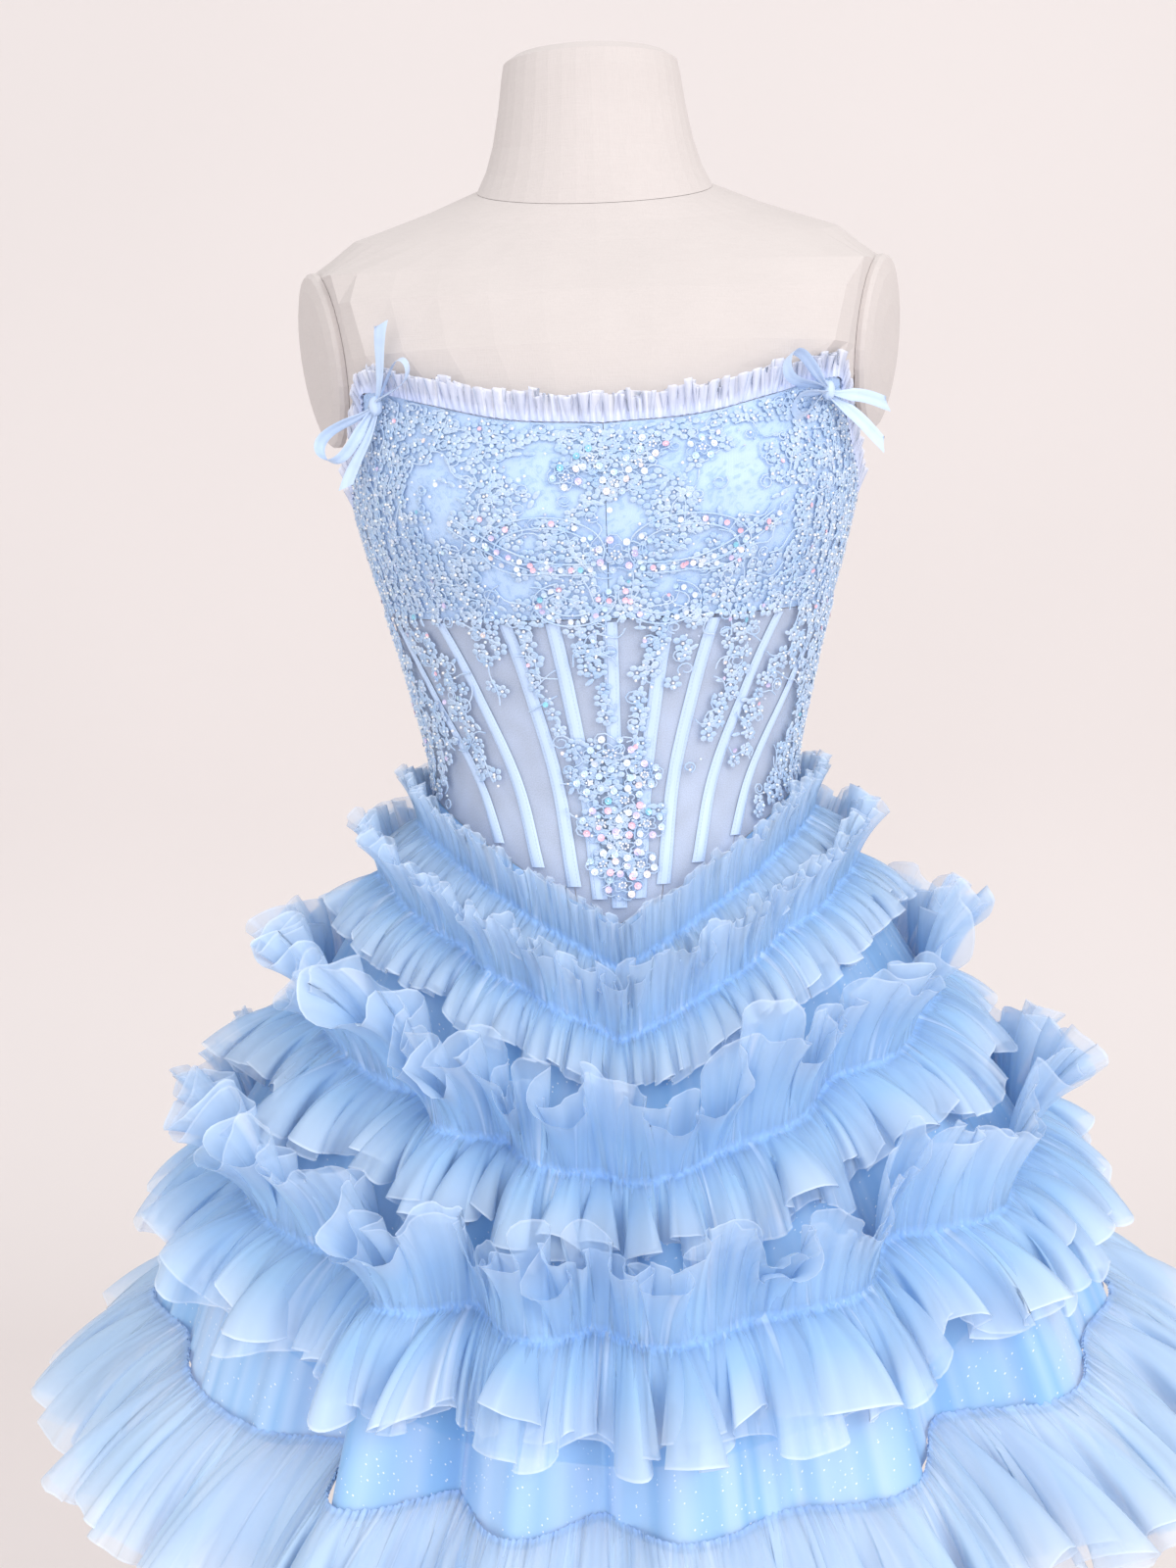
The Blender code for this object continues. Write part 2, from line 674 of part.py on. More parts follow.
def make_bows():
    for side, strands in BOWS.items():
        middle, out, across, up = bow_frame(side)
        for strand in strands:
            wall(f"bow_{side}_{strand.name}", ribbon(strand, middle, out, across, up), PALE_BLUE)
        bm = bmesh.new()
        bmesh.ops.create_uvsphere(bm, u_segments=12, v_segments=8, radius=0.5)
        for vert in bm.verts:
            x, y, z = vert.co
            vert.co = middle + across * x * KNOT.x + out * y * KNOT.y + up * z * KNOT.z
        object_from(bm, f"bow_{side}_knot", PALE_BLUE)


def loft(name, rings, look, sharp=40.0):
    """A closed solid through rings of points, with flat ends."""
    bm = bmesh.new()
    rows = [[bm.verts.new(point) for point in ring] for ring in rings]
    for lower, upper in zip(rows, rows[1:]):
        for j in range(len(lower)):
            k = (j + 1) % len(lower)
            bm.faces.new((lower[j], lower[k], upper[k], upper[j]))
    bm.faces.new(rows[0][::-1])
    bm.faces.new(rows[-1])
    return object_from(bm, name, look, sharp)


def make_form():
    heights = [section.height for section in BODY if section.height < FORM_FINE_LOW]
    steps = round((FORM_FINE_HIGH - FORM_FINE_LOW) / FORM_STEP)
    heights += [FORM_FINE_LOW + FORM_STEP * i for i in range(steps + 1)]
    heights += [row.height for row in BODY if row.height > FORM_FINE_HIGH + FORM_STEP / 2]
    angles = [ROUND * j / FORM_COLUMNS for j in range(FORM_COLUMNS)]
    folded = [angle - ROUND if angle > ROUND / 2 else angle for angle in angles]
    loft("form_torso", [[figure(height, angle) for angle in folded] for height in heights], LINEN)
    rings = [[ring_point(NECK, section.height, angle) for angle in folded] for section in NECK]
    loft("form_neck", rings, LINEN)
    make_arm_plates()


def make_arm_plates():
    (low, low_width), (high, high_width) = ARM_CUT
    slope = (high_width - low_width) / (high - low)
    for name, side in (("form_arm_plate_left", -1), ("form_arm_plate_right", 1)):
        outward = Vector((side, -ARM_TOE, -slope)).normalized()
        upward = Vector((side * slope, 0.0, 1.0)).normalized()
        forward = outward.cross(upward)
        seat = Vector((side * (arm_cut(PLATE_HEIGHT) + ARM_TOE * PLATE_BACK), PLATE_BACK, PLATE_HEIGHT))
        rings = []
        for ring in PLATE_RINGS:
            row = []
            for j in range(PLATE_COLUMNS):
                turn = 2 * math.pi * j / PLATE_COLUMNS
                across = forward * math.cos(turn) * PLATE_HALF_DEPTH
                rise = upward * math.sin(turn) * PLATE_HALF_HEIGHT
                row.append(seat + (across + rise) * ring.size + outward * (LAYER + ring.out))
            rings.append(row)
        loft(name, rings, LINEN)


def disc(name, radius, low, high, look, bevel=0.0, segments=48):
    bm = bmesh.new()
    bmesh.ops.create_cone(
        bm, cap_ends=True, segments=segments, radius1=radius, radius2=radius, depth=high - low
    )
    bmesh.ops.translate(bm, verts=bm.verts, vec=(0.0, 0.0, (low + high) / 2))
    if bevel:
        rim = [edge for edge in bm.edges if abs(edge.calc_face_angle()) > 1.0]
        top = [edge for edge in rim if edge.verts[0].co.z > (low + high) / 2]
        bmesh.ops.bevel(bm, geom=top, offset=bevel, segments=3, affect="EDGES", profile=0.5)
    return object_from(bm, name, look)


def make_stand():
    form_low = BODY[0].height
    flange_low = form_low - LAYER - FLANGE_THICK
    disc("stand_base", BASE_RADIUS, 0.0, BASE_THICK, STAND_WHITE, BASE_BEVEL)
    disc("stand_pole", POLE_RADIUS, BASE_THICK + LAYER, flange_low - LAYER, STAND_WHITE, segments=24)
    disc("stand_flange", FLANGE_RADIUS, flange_low, form_low - LAYER, STAND_WHITE, segments=32)


def zip_back(down, out):
    """A point on the centre-back line, below the top edge by a distance along it."""
    top, low = neckline(ROUND / 2), WAIST_SIDE
    if top - down > low:
        return moved_out(figure, top - down, ROUND / 2, out)
    return moved_out(lining, down - (top - low), ROUND / 2, out)


def make_zip():
    length = neckline(ROUND / 2) - WAIST_SIDE + ZIP_BELOW_WAIST
    rows = 12
    grid = []
    for i in range(rows + 1):
        middle = zip_back(mix(0.002, length, i / rows), OFF_FORM)
        grid.append([middle + Vector((side * ZIP_HALF, 0.0, 0.0)) for side in (1, -1)])
    wall("zip_chain", grid, PALE_BLUE, thick=CLOTH)
    make_slider()


def slider_frame():
    """The middle of the slider's inner face, and the directions out and up along the back there."""
    above, below = zip_back(SLIDER_DROP - 0.005, 0.0), zip_back(SLIDER_DROP + 0.005, 0.0)
    up = (above - below).normalized()
    out = up.cross(Vector((1.0, 0.0, 0.0))).normalized()
    if out.y < 0:
        out = -out
    seat = zip_back(SLIDER_DROP, OFF_FORM + CLOTH + LAYER + 0.0004)
    return seat, out, up


def make_slider():
    seat, out, up = slider_frame()
    side = Vector((1.0, 0.0, 0.0))

    def on_slider(x, y, z):
        return seat + side * x + out * y + up * z

    pin_z = SLIDER.z * PIN_SHARE
    pin_y = SLIDER.y + PIN_OUT
    pin = on_slider(0.0, pin_y, pin_z)

    def hanging(x, y, z):
        return pin + Vector((x, y, z))

    bm = bmesh.new()
    block(bm, on_slider, SLIDER.x, (0.0, SLIDER.y), (-SLIDER.z / 2, SLIDER.z / 2))
    slider = object_from(bm, "zip_slider", STEEL)
    gap = PULL_WIDTH / 2 + 2 * LAYER
    ear_high = (pin_z - EAR_HALF, pin_z + EAR_HALF)
    ear_deep = (SLIDER.y / 2, pin_y + PIN_RADIUS + EAR_WIDTH)
    for end in (-1, 1):
        bm = bmesh.new()
        block(bm, on_slider, EAR_WIDTH, ear_deep, ear_high, end * (gap + EAR_WIDTH / 2))
        boolean(slider, object_from(bm, f"slider_ear_{end}", STEEL), "UNION")
    bm = bmesh.new()
    round_bar(bm, hanging, PIN_RADIUS, 2 * gap + EAR_WIDTH)
    boolean(slider, object_from(bm, "slider_pin", STEEL), "UNION")

    outline = []
    start = math.asin(PULL_THICK / 2 / RING_OUTER)
    for i in range(RING_STEPS + 1):
        turn = mix(start, 2 * math.pi - start, i / RING_STEPS)
        outline.append((RING_OUTER * math.sin(turn), -RING_OUTER * math.cos(turn)))
    outline += [(-PULL_THICK / 2, -PULL_LENGTH), (PULL_THICK / 2, -PULL_LENGTH)]
    rings = [[hanging(x, y, z) for y, z in outline] for x in (-PULL_WIDTH / 2, PULL_WIDTH / 2)]
    pull = loft("zip_pull", rings, STEEL)
    bm = bmesh.new()
    round_bar(bm, hanging, RING_HOLE, 2 * PULL_WIDTH)
    boolean(pull, object_from(bm, "pull_hole", STEEL), "DIFFERENCE")


def block(bm, place, width, deep, high, middle=0.0):
    """A box, placed by a function of its width, depth and height."""
    for vert in bmesh.ops.create_cube(bm, size=1.0)["verts"]:
        x, y, z = vert.co
        vert.co = place(middle + x * width, mix(*deep, y + 0.5), mix(*high, z + 0.5))


def round_bar(bm, place, radius, length):
    """A bar along X through the pin's middle."""
    bmesh.ops.create_cone(
        bm, cap_ends=True, segments=16, radius1=radius, radius2=radius, depth=length
    )
    for vert in bm.verts:
        x, y, z = vert.co
        vert.co = place(z, x, y)


def boolean(obj, cutter, operation):
    cutter.hide_render = True
    cutter.display_type = "WIRE"
    modifier = obj.modifiers.new(cutter.name, "BOOLEAN")
    modifier.operation = operation
    modifier.object = cutter


def main():
    clear_scene()
    make_form()
    make_stand()
    make_cups()
    make_panels()
    make_bones()
    make_lace()
    make_frill()
    make_zip()
    make_bows()
    make_skirt()
    make_tiers()


main()
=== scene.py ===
"""A strapless homecoming dress on a dress form: its cloth, lace, beads and bows, over the frame of
solids. Metres, +Z up, and the front faces -Y.

The surfaces below are the figure of the form, the lines of the bodice and the spread of the skirt.
Every piece of cloth is laid on them. Angles are in degrees round the body, 0 at the centre front
and positive to +X. Each function takes and returns arrays.
"""

import math
from collections import namedtuple

import bpy
import numpy as np
from mathutils import Matrix, Vector


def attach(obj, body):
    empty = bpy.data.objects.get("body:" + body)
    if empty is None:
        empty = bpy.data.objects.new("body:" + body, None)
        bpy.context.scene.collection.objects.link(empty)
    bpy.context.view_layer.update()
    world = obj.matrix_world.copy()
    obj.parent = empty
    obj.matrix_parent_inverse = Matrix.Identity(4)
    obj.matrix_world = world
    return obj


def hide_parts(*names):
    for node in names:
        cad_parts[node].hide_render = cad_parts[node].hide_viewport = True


bl_info = {
    "name": "Homecoming Dress",
    "version": (1, 0, 0),
    "blender": (4, 5, 0),
    "location": "3D View > Sidebar > Dress",
    "description": "Makes the cloth, lace and trim of a homecoming dress on its form",
    "category": "Add Mesh",
}

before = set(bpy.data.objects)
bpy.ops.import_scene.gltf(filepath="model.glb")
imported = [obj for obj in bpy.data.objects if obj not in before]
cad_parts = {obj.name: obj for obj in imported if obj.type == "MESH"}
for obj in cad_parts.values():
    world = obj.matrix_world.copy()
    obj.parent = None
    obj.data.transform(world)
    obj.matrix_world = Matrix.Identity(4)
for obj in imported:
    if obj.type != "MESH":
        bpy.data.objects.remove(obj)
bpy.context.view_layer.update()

# Cloth, as cut: its wall, and the gaps at a seam and between two layers
CLOTH, SEAM, LAYER = 0.0010, 0.0004, 0.0003
BONE_CLOTH, BONE_WIDTH = 0.0015, 0.0070
# How far out from the form each layer lies
OFF_FORM = 0.0018
ON_PANEL = OFF_FORM + CLOTH + LAYER
ON_MESH = ON_PANEL + 0.0004
ON_BONES = ON_MESH + BONE_CLOTH + 2 * LAYER
ON_LINING = ON_PANEL + 0.0004
ON_SKIRT = ON_LINING + CLOTH + LAYER
ZIP_OPENING, ZIP_BELOW = 0.0022, 0.133  # half its width, and how far it reaches below the waist
LAST_LINE, SHEET_COLUMNS = 7, 40

# Figure of the form
WAIST_SIDE, WAIST_DIP = 1.030, 0.073
UNDERBUST, UNDERBUST_RISE = 1.143, 0.010
BUST_ANGLE, BUST_SPREAD = 34.0, 23.0
BUST_HEIGHT, BUST_TALL, BUST_OUT = 1.212, 0.050, 0.013
# Arm plates: height and half-width at their lower and upper edges, and how they toe in
ARM_CUT = ((1.278, 0.1715), (1.377, 0.185))
ARM_TOE = 0.36

Section = namedtuple("Section", "height half_width front back tilt")
BODY = (
    Section(0.775, 0.140, 0.090, 0.105, 0.00),
    Section(0.787, 0.153, 0.099, 0.116, 0.00),
    Section(0.850, 0.169, 0.108, 0.128, 0.00),
    Section(0.930, 0.151, 0.106, 0.108, 0.00),
    Section(0.990, 0.127, 0.101, 0.090, 0.00),
    Section(1.040, 0.115, 0.094, 0.083, 0.00),
    Section(1.098, 0.126, 0.098, 0.090, 0.00),
    Section(1.137, 0.136, 0.105, 0.097, 0.00),
    Section(1.180, 0.149, 0.114, 0.105, 0.00),
    Section(1.224, 0.160, 0.118, 0.111, 0.00),
    Section(1.255, 0.163, 0.115, 0.114, 0.00),
    Section(1.280, 0.170, 0.111, 0.114, 0.00),
    Section(1.310, 0.205, 0.104, 0.114, 0.00),
    Section(1.345, 0.216, 0.090, 0.108, 0.05),
    Section(1.367, 0.210, 0.078, 0.098, 0.12),
    Section(1.390, 0.156, 0.067, 0.084, 0.25),
    Section(1.405, 0.109, 0.060, 0.071, 0.33),
    Section(1.418, 0.076, 0.055, 0.061, 0.37),
)

# Neckline, from the centre front to the centre back
Edge = namedtuple("Edge", "angle height")
NECKLINE = (
    Edge(0.0, 1.2570),
    Edge(20.0, 1.2610),
    Edge(38.0, 1.2740),
    Edge(54.0, 1.2870),
    Edge(61.0, 1.2740),
    Edge(68.0, 1.2510),
    Edge(77.0, 1.2290),
    Edge(90.0, 1.2150),
    Edge(120.0, 1.2000),
    Edge(180.0, 1.1900),
)

# Column lines of the bodice: the angle at the underbust seam and at the waist seam
Line = namedtuple("Line", "number upper waist")
LINES = (
    Line(0, 0.0, 0.0),
    Line(1, 14.5, 4.5),
    Line(2, 27.0, 11.0),
    Line(3, 48.0, 21.0),
    Line(4, 74.0, 34.0),
    Line(5, 118.0, 112.0),
    Line(6, 152.0, 152.0),
    Line(7, 180.0, 180.0),
)
BONE_LINES = (0, 1, 2, 3, 4, 5, 6)

Panel = namedtuple("Panel", "name start end full")
PANELS = (
    Panel("mesh_front_centre", -2, 2, False),
    Panel("mesh_front_left", -4, -2, False),
    Panel("mesh_front_right", 2, 4, False),
    Panel("mesh_side_left", -5, -4, True),
    Panel("mesh_side_right", 4, 5, True),
    Panel("mesh_back_left", -7, -5, True),
    Panel("mesh_back_right", 5, 7, True),
)
LaceEdge = namedtuple("LaceEdge", "line reach")
SIDE_LACE = (
    LaceEdge(4.00, 0.60),
    LaceEdge(4.25, 0.92),
    LaceEdge(4.50, 0.86),
    LaceEdge(4.75, 0.93),
    LaceEdge(5.00, 0.80),
    LaceEdge(5.50, 0.60),
)
SPRAY_HALF, SPRAY_TOP, SPRAY_LOW = 1.7, 0.4, 0.96  # its half-width in lines, and its levels
FRILL_HEIGHT, FRILL_GAP = 0.0140, 0.0014

# Skirt: how far each level lies below the waist seam at the sides, how far the skirt has spread
# from the waist there, how far its lines dip in front, how sharp that dip is, and the fold depth
Level = namedtuple("Level", "below side front back dip sharp fold")
SKIRT = (
    Level(0.000, 0.000, 0.000, 0.000, WAIST_DIP, 1.00, 0.000),
    Level(0.018, 0.008, 0.006, 0.010, 0.085, 1.00, 0.000),
    Level(0.051, 0.033, 0.029, 0.042, 0.091, 1.05, 0.004),
    Level(0.133, 0.082, 0.077, 0.095, 0.082, 1.25, 0.012),
    Level(0.223, 0.138, 0.136, 0.152, 0.064, 1.45, 0.021),
    Level(0.320, 0.181, 0.176, 0.195, 0.054, 1.60, 0.027),
    Level(0.420, 0.207, 0.203, 0.220, 0.038, 1.70, 0.030),
)
Fold = namedtuple("Fold", "angle reach")  # reach: 1 on a full ridge, -1 in a full valley
FOLDS = (
    Fold(-180, 0.5),
    Fold(-164, -0.7),
    Fold(-147, 0.8),
    Fold(-130, -0.6),
    Fold(-113, 0.7),
    Fold(-98, -0.3),
    Fold(-84, 0.5),
    Fold(-70, -0.2),
    Fold(-57, 0.3),
    Fold(-44, 0.1),
    Fold(-35, -1.0),
    Fold(-28, 1.2),
    Fold(-20, -0.8),
    Fold(-12, 0.7),
    Fold(-4, -0.9),
    Fold(4, 0.6),
    Fold(14, 0.0),
    Fold(25, 0.8),
    Fold(37, -1.0),
    Fold(48, 0.9),
    Fold(61, 0.2),
    Fold(74, 0.4),
    Fold(88, -0.4),
    Fold(102, 0.6),
    Fold(117, -0.7),
    Fold(133, 0.7),
    Fold(149, -0.6),
    Fold(165, 0.7),
    Fold(180, 0.5),
)
LINING_SPREAD, LINING_LENGTH, OVERLAY_LENGTH = 0.80, 0.300, 0.326

# Tiers: how far below the waist seam the stitching is, the frill above and below it, how far each
# leans from upright near the stitching and at its edge, the mean width of a flute and its depth
# at the edge, and how uneven the frill's height is
Tier = namedtuple(
    "Tier", "name below header lean_near lean_edge frill fall_near fall_edge flute depth rise"
)
TIERS = (
    Tier("tier_1", 0.018, 0.034, 4.0, 26.0, 0.030, 68.0, 34.0, 0.012, 0.0036, 0.16),
    Tier("tier_2", 0.051, 0.040, 8.0, 32.0, 0.041, 72.0, 32.0, 0.018, 0.0060, 0.24),
    Tier("tier_3", 0.133, 0.057, 8.0, 34.0, 0.056, 74.0, 32.0, 0.034, 0.0125, 0.34),
    Tier("tier_4", 0.223, 0.056, 6.0, 34.0, 0.064, 70.0, 26.0, 0.040, 0.0155, 0.34),
    Tier("tier_5", 0.320, 0.000, 0.0, 0.0, 0.097, 64.0, 34.0, 0.042, 0.0150, 0.10),
)

# Places where a tier's upper frill stands taller and flops further out
Flop = namedtuple("Flop", "tier angle width taller lean")
FLOPS = (
    Flop("tier_2", -22, 9, 0.25, 22.0),
    Flop("tier_2", 6, 8, 0.30, 18.0),
    Flop("tier_3", -62, 9, 0.35, 20.0),
    Flop("tier_3", -43, 6, 0.45, 28.0),
    Flop("tier_3", -26, 5, 0.20, 25.0),
    Flop("tier_3", 20, 7, 0.30, 15.0),
    Flop("tier_3", 62, 9, 0.45, 18.0),
    Flop("tier_4", -66, 8, 0.35, 20.0),
    Flop("tier_4", -36, 6, 0.30, 34.0),
    Flop("tier_4", -8, 5, 0.20, 20.0),
    Flop("tier_4", 12, 6, 0.30, 38.0),
    Flop("tier_4", 38, 7, 0.30, 16.0),
    Flop("tier_4", 68, 9, 0.45, 18.0),
)

# Bows: where the knot sits, and each loop and tail as a direction in the plane of the cloth
BOW_ANGLE, BOW_BELOW_EDGE, BOW_FACING = 51.0, 0.0080, 32.0
RIBBON_WIDTH, RIBBON_PINCH, PINCH_LENGTH = 0.0080, 0.35, 0.35
KNOT = Vector((0.0085, 0.0080, 0.0110))
Strand = namedtuple("Strand", "name turn length opening layer lift")
BOWS = {  # turn is from upright towards +X, and the layer is out from the knot's middle
    "left": (
        Strand("loop_upper", 58.0, 0.040, 0.007, 0.0022, 0.010),
        Strand("loop_lower", 228.0, 0.044, 0.009, 0.0012, 0.012),
        Strand("tail_upper", 20.0, 0.049, 0.0, 0.0006, 0.011),
        Strand("tail_lower", 203.0, 0.053, 0.0, -0.0022, 0.008),
    ),
    "right": (
        Strand("loop_upper", -68.0, 0.042, 0.008, 0.0016, 0.010),
        Strand("loop_lower", -112.0, 0.036, 0.006, 0.0012, 0.008),
        Strand("tail_upper", 101.0, 0.040, 0.0, 0.0008, 0.008),
        Strand("tail_lower", 131.0, 0.049, 0.0, -0.0022, 0.010),
    ),
}

# Lace: where its fingers hang below the underbust seam. Line, half-width in lines, how far down
Finger = namedtuple("Finger", "line half reach")
FINGERS = (
    Finger(-5.6, 1.5, 0.30),
    Finger(-4.55, 0.62, 0.97),
    Finger(-3.55, 0.34, 0.72),
    Finger(-2.45, 0.20, 0.30),
    Finger(-1.55, 0.22, 0.62),
    Finger(-0.35, 0.34, 0.34),
    Finger(0.75, 0.30, 0.40),
    Finger(1.60, 0.24, 0.30),
    Finger(2.50, 0.26, 0.62),
    Finger(3.50, 0.34, 0.66),
    Finger(4.55, 0.62, 0.97),
    Finger(5.6, 1.5, 0.30),
)


# Surfaces ---------------------------------------------------------------------------------------


def smooth(table, key, value, place):
    """The value column of a table, smoothly through its rows, at places on its key column."""
    keys = np.array([getattr(row, key) for row in table], float)
    values = np.array([getattr(row, value) for row in table], float)
    last = len(keys) - 1
    place = np.clip(np.asarray(place, float), keys[0], keys[-1])
    i = np.clip(np.searchsorted(keys, place, side="right") - 1, 0, last - 1)
    before = np.clip(np.arange(last + 1) - 1, 0, None)
    after = np.clip(np.arange(last + 1) + 1, None, last)
    slope = (values[after] - values[before]) / (keys[after] - keys[before])
    step = keys[i + 1] - keys[i]
    p = (place - keys[i]) / step
    ends = (2 * p**3 - 3 * p**2 + 1) * values[i] + (3 * p**2 - 2 * p**3) * values[i + 1]
    return ends + step * ((p**3 - 2 * p**2 + p) * slope[i] + (p**3 - p**2) * slope[i + 1])


def mix(low, high, share):
    return low + (high - low) * share


def points(x, y, z):
    return np.stack(spread(x, y, z), axis=-1)


def spread(*values):
    """The values as arrays of one shape."""
    return np.broadcast_arrays(*[np.asarray(value, float) for value in values])


def figure(height, angle):
    """Points of the figure's surface, with the bust rounded out and the arms cut flat."""
    height, angle = spread(height, angle)
    turn = np.radians(angle)
    front = smooth(BODY, "height", "front", height)
    depth = np.where(np.cos(turn) > 0, front, smooth(BODY, "height", "back", height))
    x = smooth(BODY, "height", "half_width", height) * np.sin(turn)
    y = -depth * np.cos(turn)
    z = height + smooth(BODY, "height", "tilt", height) * y
    across = (np.abs(angle) - BUST_ANGLE) / BUST_SPREAD
    bust = BUST_OUT * np.exp(-(across**2) - ((height - BUST_HEIGHT) / BUST_TALL) ** 2)
    x = x + np.sin(turn) * bust
    y = y - np.cos(turn) * bust
    (low, low_width), (high, high_width) = ARM_CUT
    most = mix(low_width, high_width, (z - low) / (high - low)) + ARM_TOE * y
    x = np.where(height > low, np.clip(x, -most, most), x)
    return points(x, y, z)


def dip_share(angle, sharp=1.0):
    """1 at the centre front, falling to 0 at the sides and behind."""
    share = 1.0 - np.abs(np.sin(np.radians(angle))) ** sharp
    return np.where(np.abs(angle) >= 90.0, 0.0, share)


def neckline(angle):
    return smooth(NECKLINE, "angle", "height", np.abs(angle))


def underbust(angle):
    return UNDERBUST + UNDERBUST_RISE * np.minimum(np.abs(angle) / 90.0, 1.0) ** 2


def waist(angle):
    return WAIST_SIDE - WAIST_DIP * dip_share(angle)


def skirt(below, angle, wide=1.0, fold=1.0):
    """Points of the skirt. Below is the distance under the waist seam at the sides."""
    angle = (np.asarray(angle, float) + 180.0) % 360.0 - 180.0
    rim = figure(waist(angle), angle)
    turn = np.radians(angle)
    front = smooth(SKIRT, "below", "front", below)
    depth = np.where(np.cos(turn) > 0, front, smooth(SKIRT, "below", "back", below))
    x = rim[..., 0] + wide * smooth(SKIRT, "below", "side", below) * np.sin(turn)
    y = rim[..., 1] - wide * depth * np.cos(turn)
    wave = fold * smooth(SKIRT, "below", "fold", below) * smooth(FOLDS, "angle", "reach", angle)
    sharp = smooth(SKIRT, "below", "sharp", below)
    z = WAIST_SIDE - below - smooth(SKIRT, "below", "dip", below) * dip_share(angle, sharp)
    return points(x + wave * np.sin(turn), y - wave * np.cos(turn), z)


def overlay(below, angle):
    return skirt(below, angle)


def lining(below, angle):
    return skirt(below, angle, LINING_SPREAD, 0.0)


def unit(vectors):
    return vectors / np.maximum(np.linalg.norm(vectors, axis=-1, keepdims=True), 1e-12)


def lifted(surface, down, angle, out):
    """Points of a surface moved out along its normals, and those normals."""
    down, angle, out = spread(down, angle, out)
    step, turn = 0.0005, 0.2
    along = surface(down, angle + turn) - surface(down, angle - turn)
    rise = surface(down + step, angle) - surface(down - step, angle)
    at = surface(down, angle)
    normal = unit(np.cross(along, rise))
    inwards = normal[..., 0] * at[..., 0] + normal[..., 1] * at[..., 1] < 0
    normal = np.where(inwards[..., None], -normal, normal)
    return at + normal * out[..., None], normal


def line_angle(line, level):
    """The angle of a column line at a level: 0 or less above the underbust seam, 1 at the waist."""
    numbers = [row.number for row in LINES]
    upper = np.interp(np.abs(line), numbers, [row.upper for row in LINES])
    lower = np.interp(np.abs(line), numbers, [row.waist for row in LINES])
    return np.sign(line) * upper, np.sign(line) * lower, np.clip(level, 0.0, None)


def bodice(line, level, out, shift=0.0):
    """Points of the bodice, out from the form. Level -1 is the neckline, 0 the underbust seam and
    1 the waist seam. Shift is a length to +X round the body."""
    line, level, out, shift = spread(line, level, out, shift)
    upper, lower, share = line_angle(line, level)
    above = mix(underbust(upper), neckline(upper), -level)
    below = mix(underbust(upper), waist(lower), level)
    height = np.where(level < 0, above, below)
    angle = mix(upper, lower, share)
    around = figure(height, angle)
    angle = angle + np.degrees(shift / np.hypot(around[..., 0], around[..., 1]))
    return lifted(figure, height, angle, out)[0]


# Meshes -----------------------------------------------------------------------------------------


def mesh_object(name, places, faces):
    mesh = bpy.data.meshes.new(name)
    mesh.from_pydata(np.reshape(places, (-1, 3)).tolist(), [], np.asarray(faces).tolist())
    mesh.shade_smooth()
    piece = bpy.data.objects.new(name, mesh)
    bpy.context.scene.collection.objects.link(piece)
    return piece


def grid_faces(rows, cols, closed=False):
    """Faces of a grid whose rows run down and whose columns run towards +X in front."""
    index = np.arange(rows * cols).reshape(rows, cols)
    if closed:
        index = np.concatenate([index, index[:, :1]], axis=1)
    corners = (index[:-1, :-1], index[1:, :-1], index[1:, 1:], index[:-1, 1:])
    return np.stack(corners, axis=-1).reshape(-1, 4)


def add_uv(piece, across, down):
    """A map in metres: across the cloth and down it, one value for each point."""
    layer = piece.data.uv_layers.new(name="cut")
    corners = np.empty(len(piece.data.loops), np.int32)
    piece.data.loops.foreach_get("vertex_index", corners)
    both = np.stack([np.ravel(across), np.ravel(down)], axis=-1)[corners]
    layer.data.foreach_set("uv", both.astype(np.float32).ravel())


def cloth(name, grid):
    """An open sheet through rows of points, with a map in metres along its rows and columns."""
    rows, cols = grid.shape[:2]
    piece = mesh_object(name, grid, grid_faces(rows, cols))
    across = np.zeros((rows, cols))
    across[:, 1:] = np.cumsum(np.linalg.norm(np.diff(grid, axis=1), axis=-1), axis=1)
    across -= across[:, -1:] / 2
    down = np.zeros((rows, cols))
    down[1:] = np.cumsum(np.linalg.norm(np.diff(grid, axis=0), axis=-1), axis=0)
    add_uv(piece, across, down)
    return piece


def add_share(piece, name, values):
    """A number from 0 to 1 at each point, which a finish reads."""
    layer = piece.data.attributes.new(name, "FLOAT", "POINT")
    layer.data.foreach_set("value", np.clip(np.ravel(values), 0.0, 1.0).astype(np.float32))


def wear(piece, finish, slot, *nodes):
    """Gives a piece its finish, its body and the solids that it stands for. The slot is not used.
    """
    piece.data.materials.clear()
    piece.data.materials.append(finish)
    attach(piece, "root")
    if nodes:
        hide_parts(*nodes)


# Finishes ---------------------------------------------------------------------------------------


class Wire:
    """A shader socket that arithmetic acts on."""

    def __init__(self, finish, socket):
        self.finish, self.socket = finish, socket

    def _maths(self, operation, *values):
        return self.finish.node("Math", {"operation": operation}, dict(enumerate(values)))

    def __add__(self, other):
        return self._maths("ADD", self, other)

    def __sub__(self, other):
        return self._maths("SUBTRACT", self, other)

    def __rsub__(self, other):
        return self._maths("SUBTRACT", other, self)

    def __mul__(self, other):
        return self._maths("MULTIPLY", self, other)

    __radd__, __rmul__ = __add__, __mul__

    def beside(self, output):
        """Another output of the same node."""
        return Wire(self.finish, self.socket.node.outputs[output])

    def above(self, low, high):
        """0 up to low, 1 from high, and even between."""
        return self.finish.node(
            "MapRange", {"clamp": True}, {"Value": self, "From Min": low, "From Max": high}
        )

    def sine(self):
        return self._maths("SINE", self)

    def size(self):
        return self._maths("ABSOLUTE", self)

    def at_least(self, other):
        return self._maths("MAXIMUM", self, other)

    def at_most(self, other):
        return self._maths("MINIMUM", self, other)


COLOUR_LOW, COLOUR_HIGH, COLOUR_OUT = 6, 7, 2  # a Mix node's sockets for colours


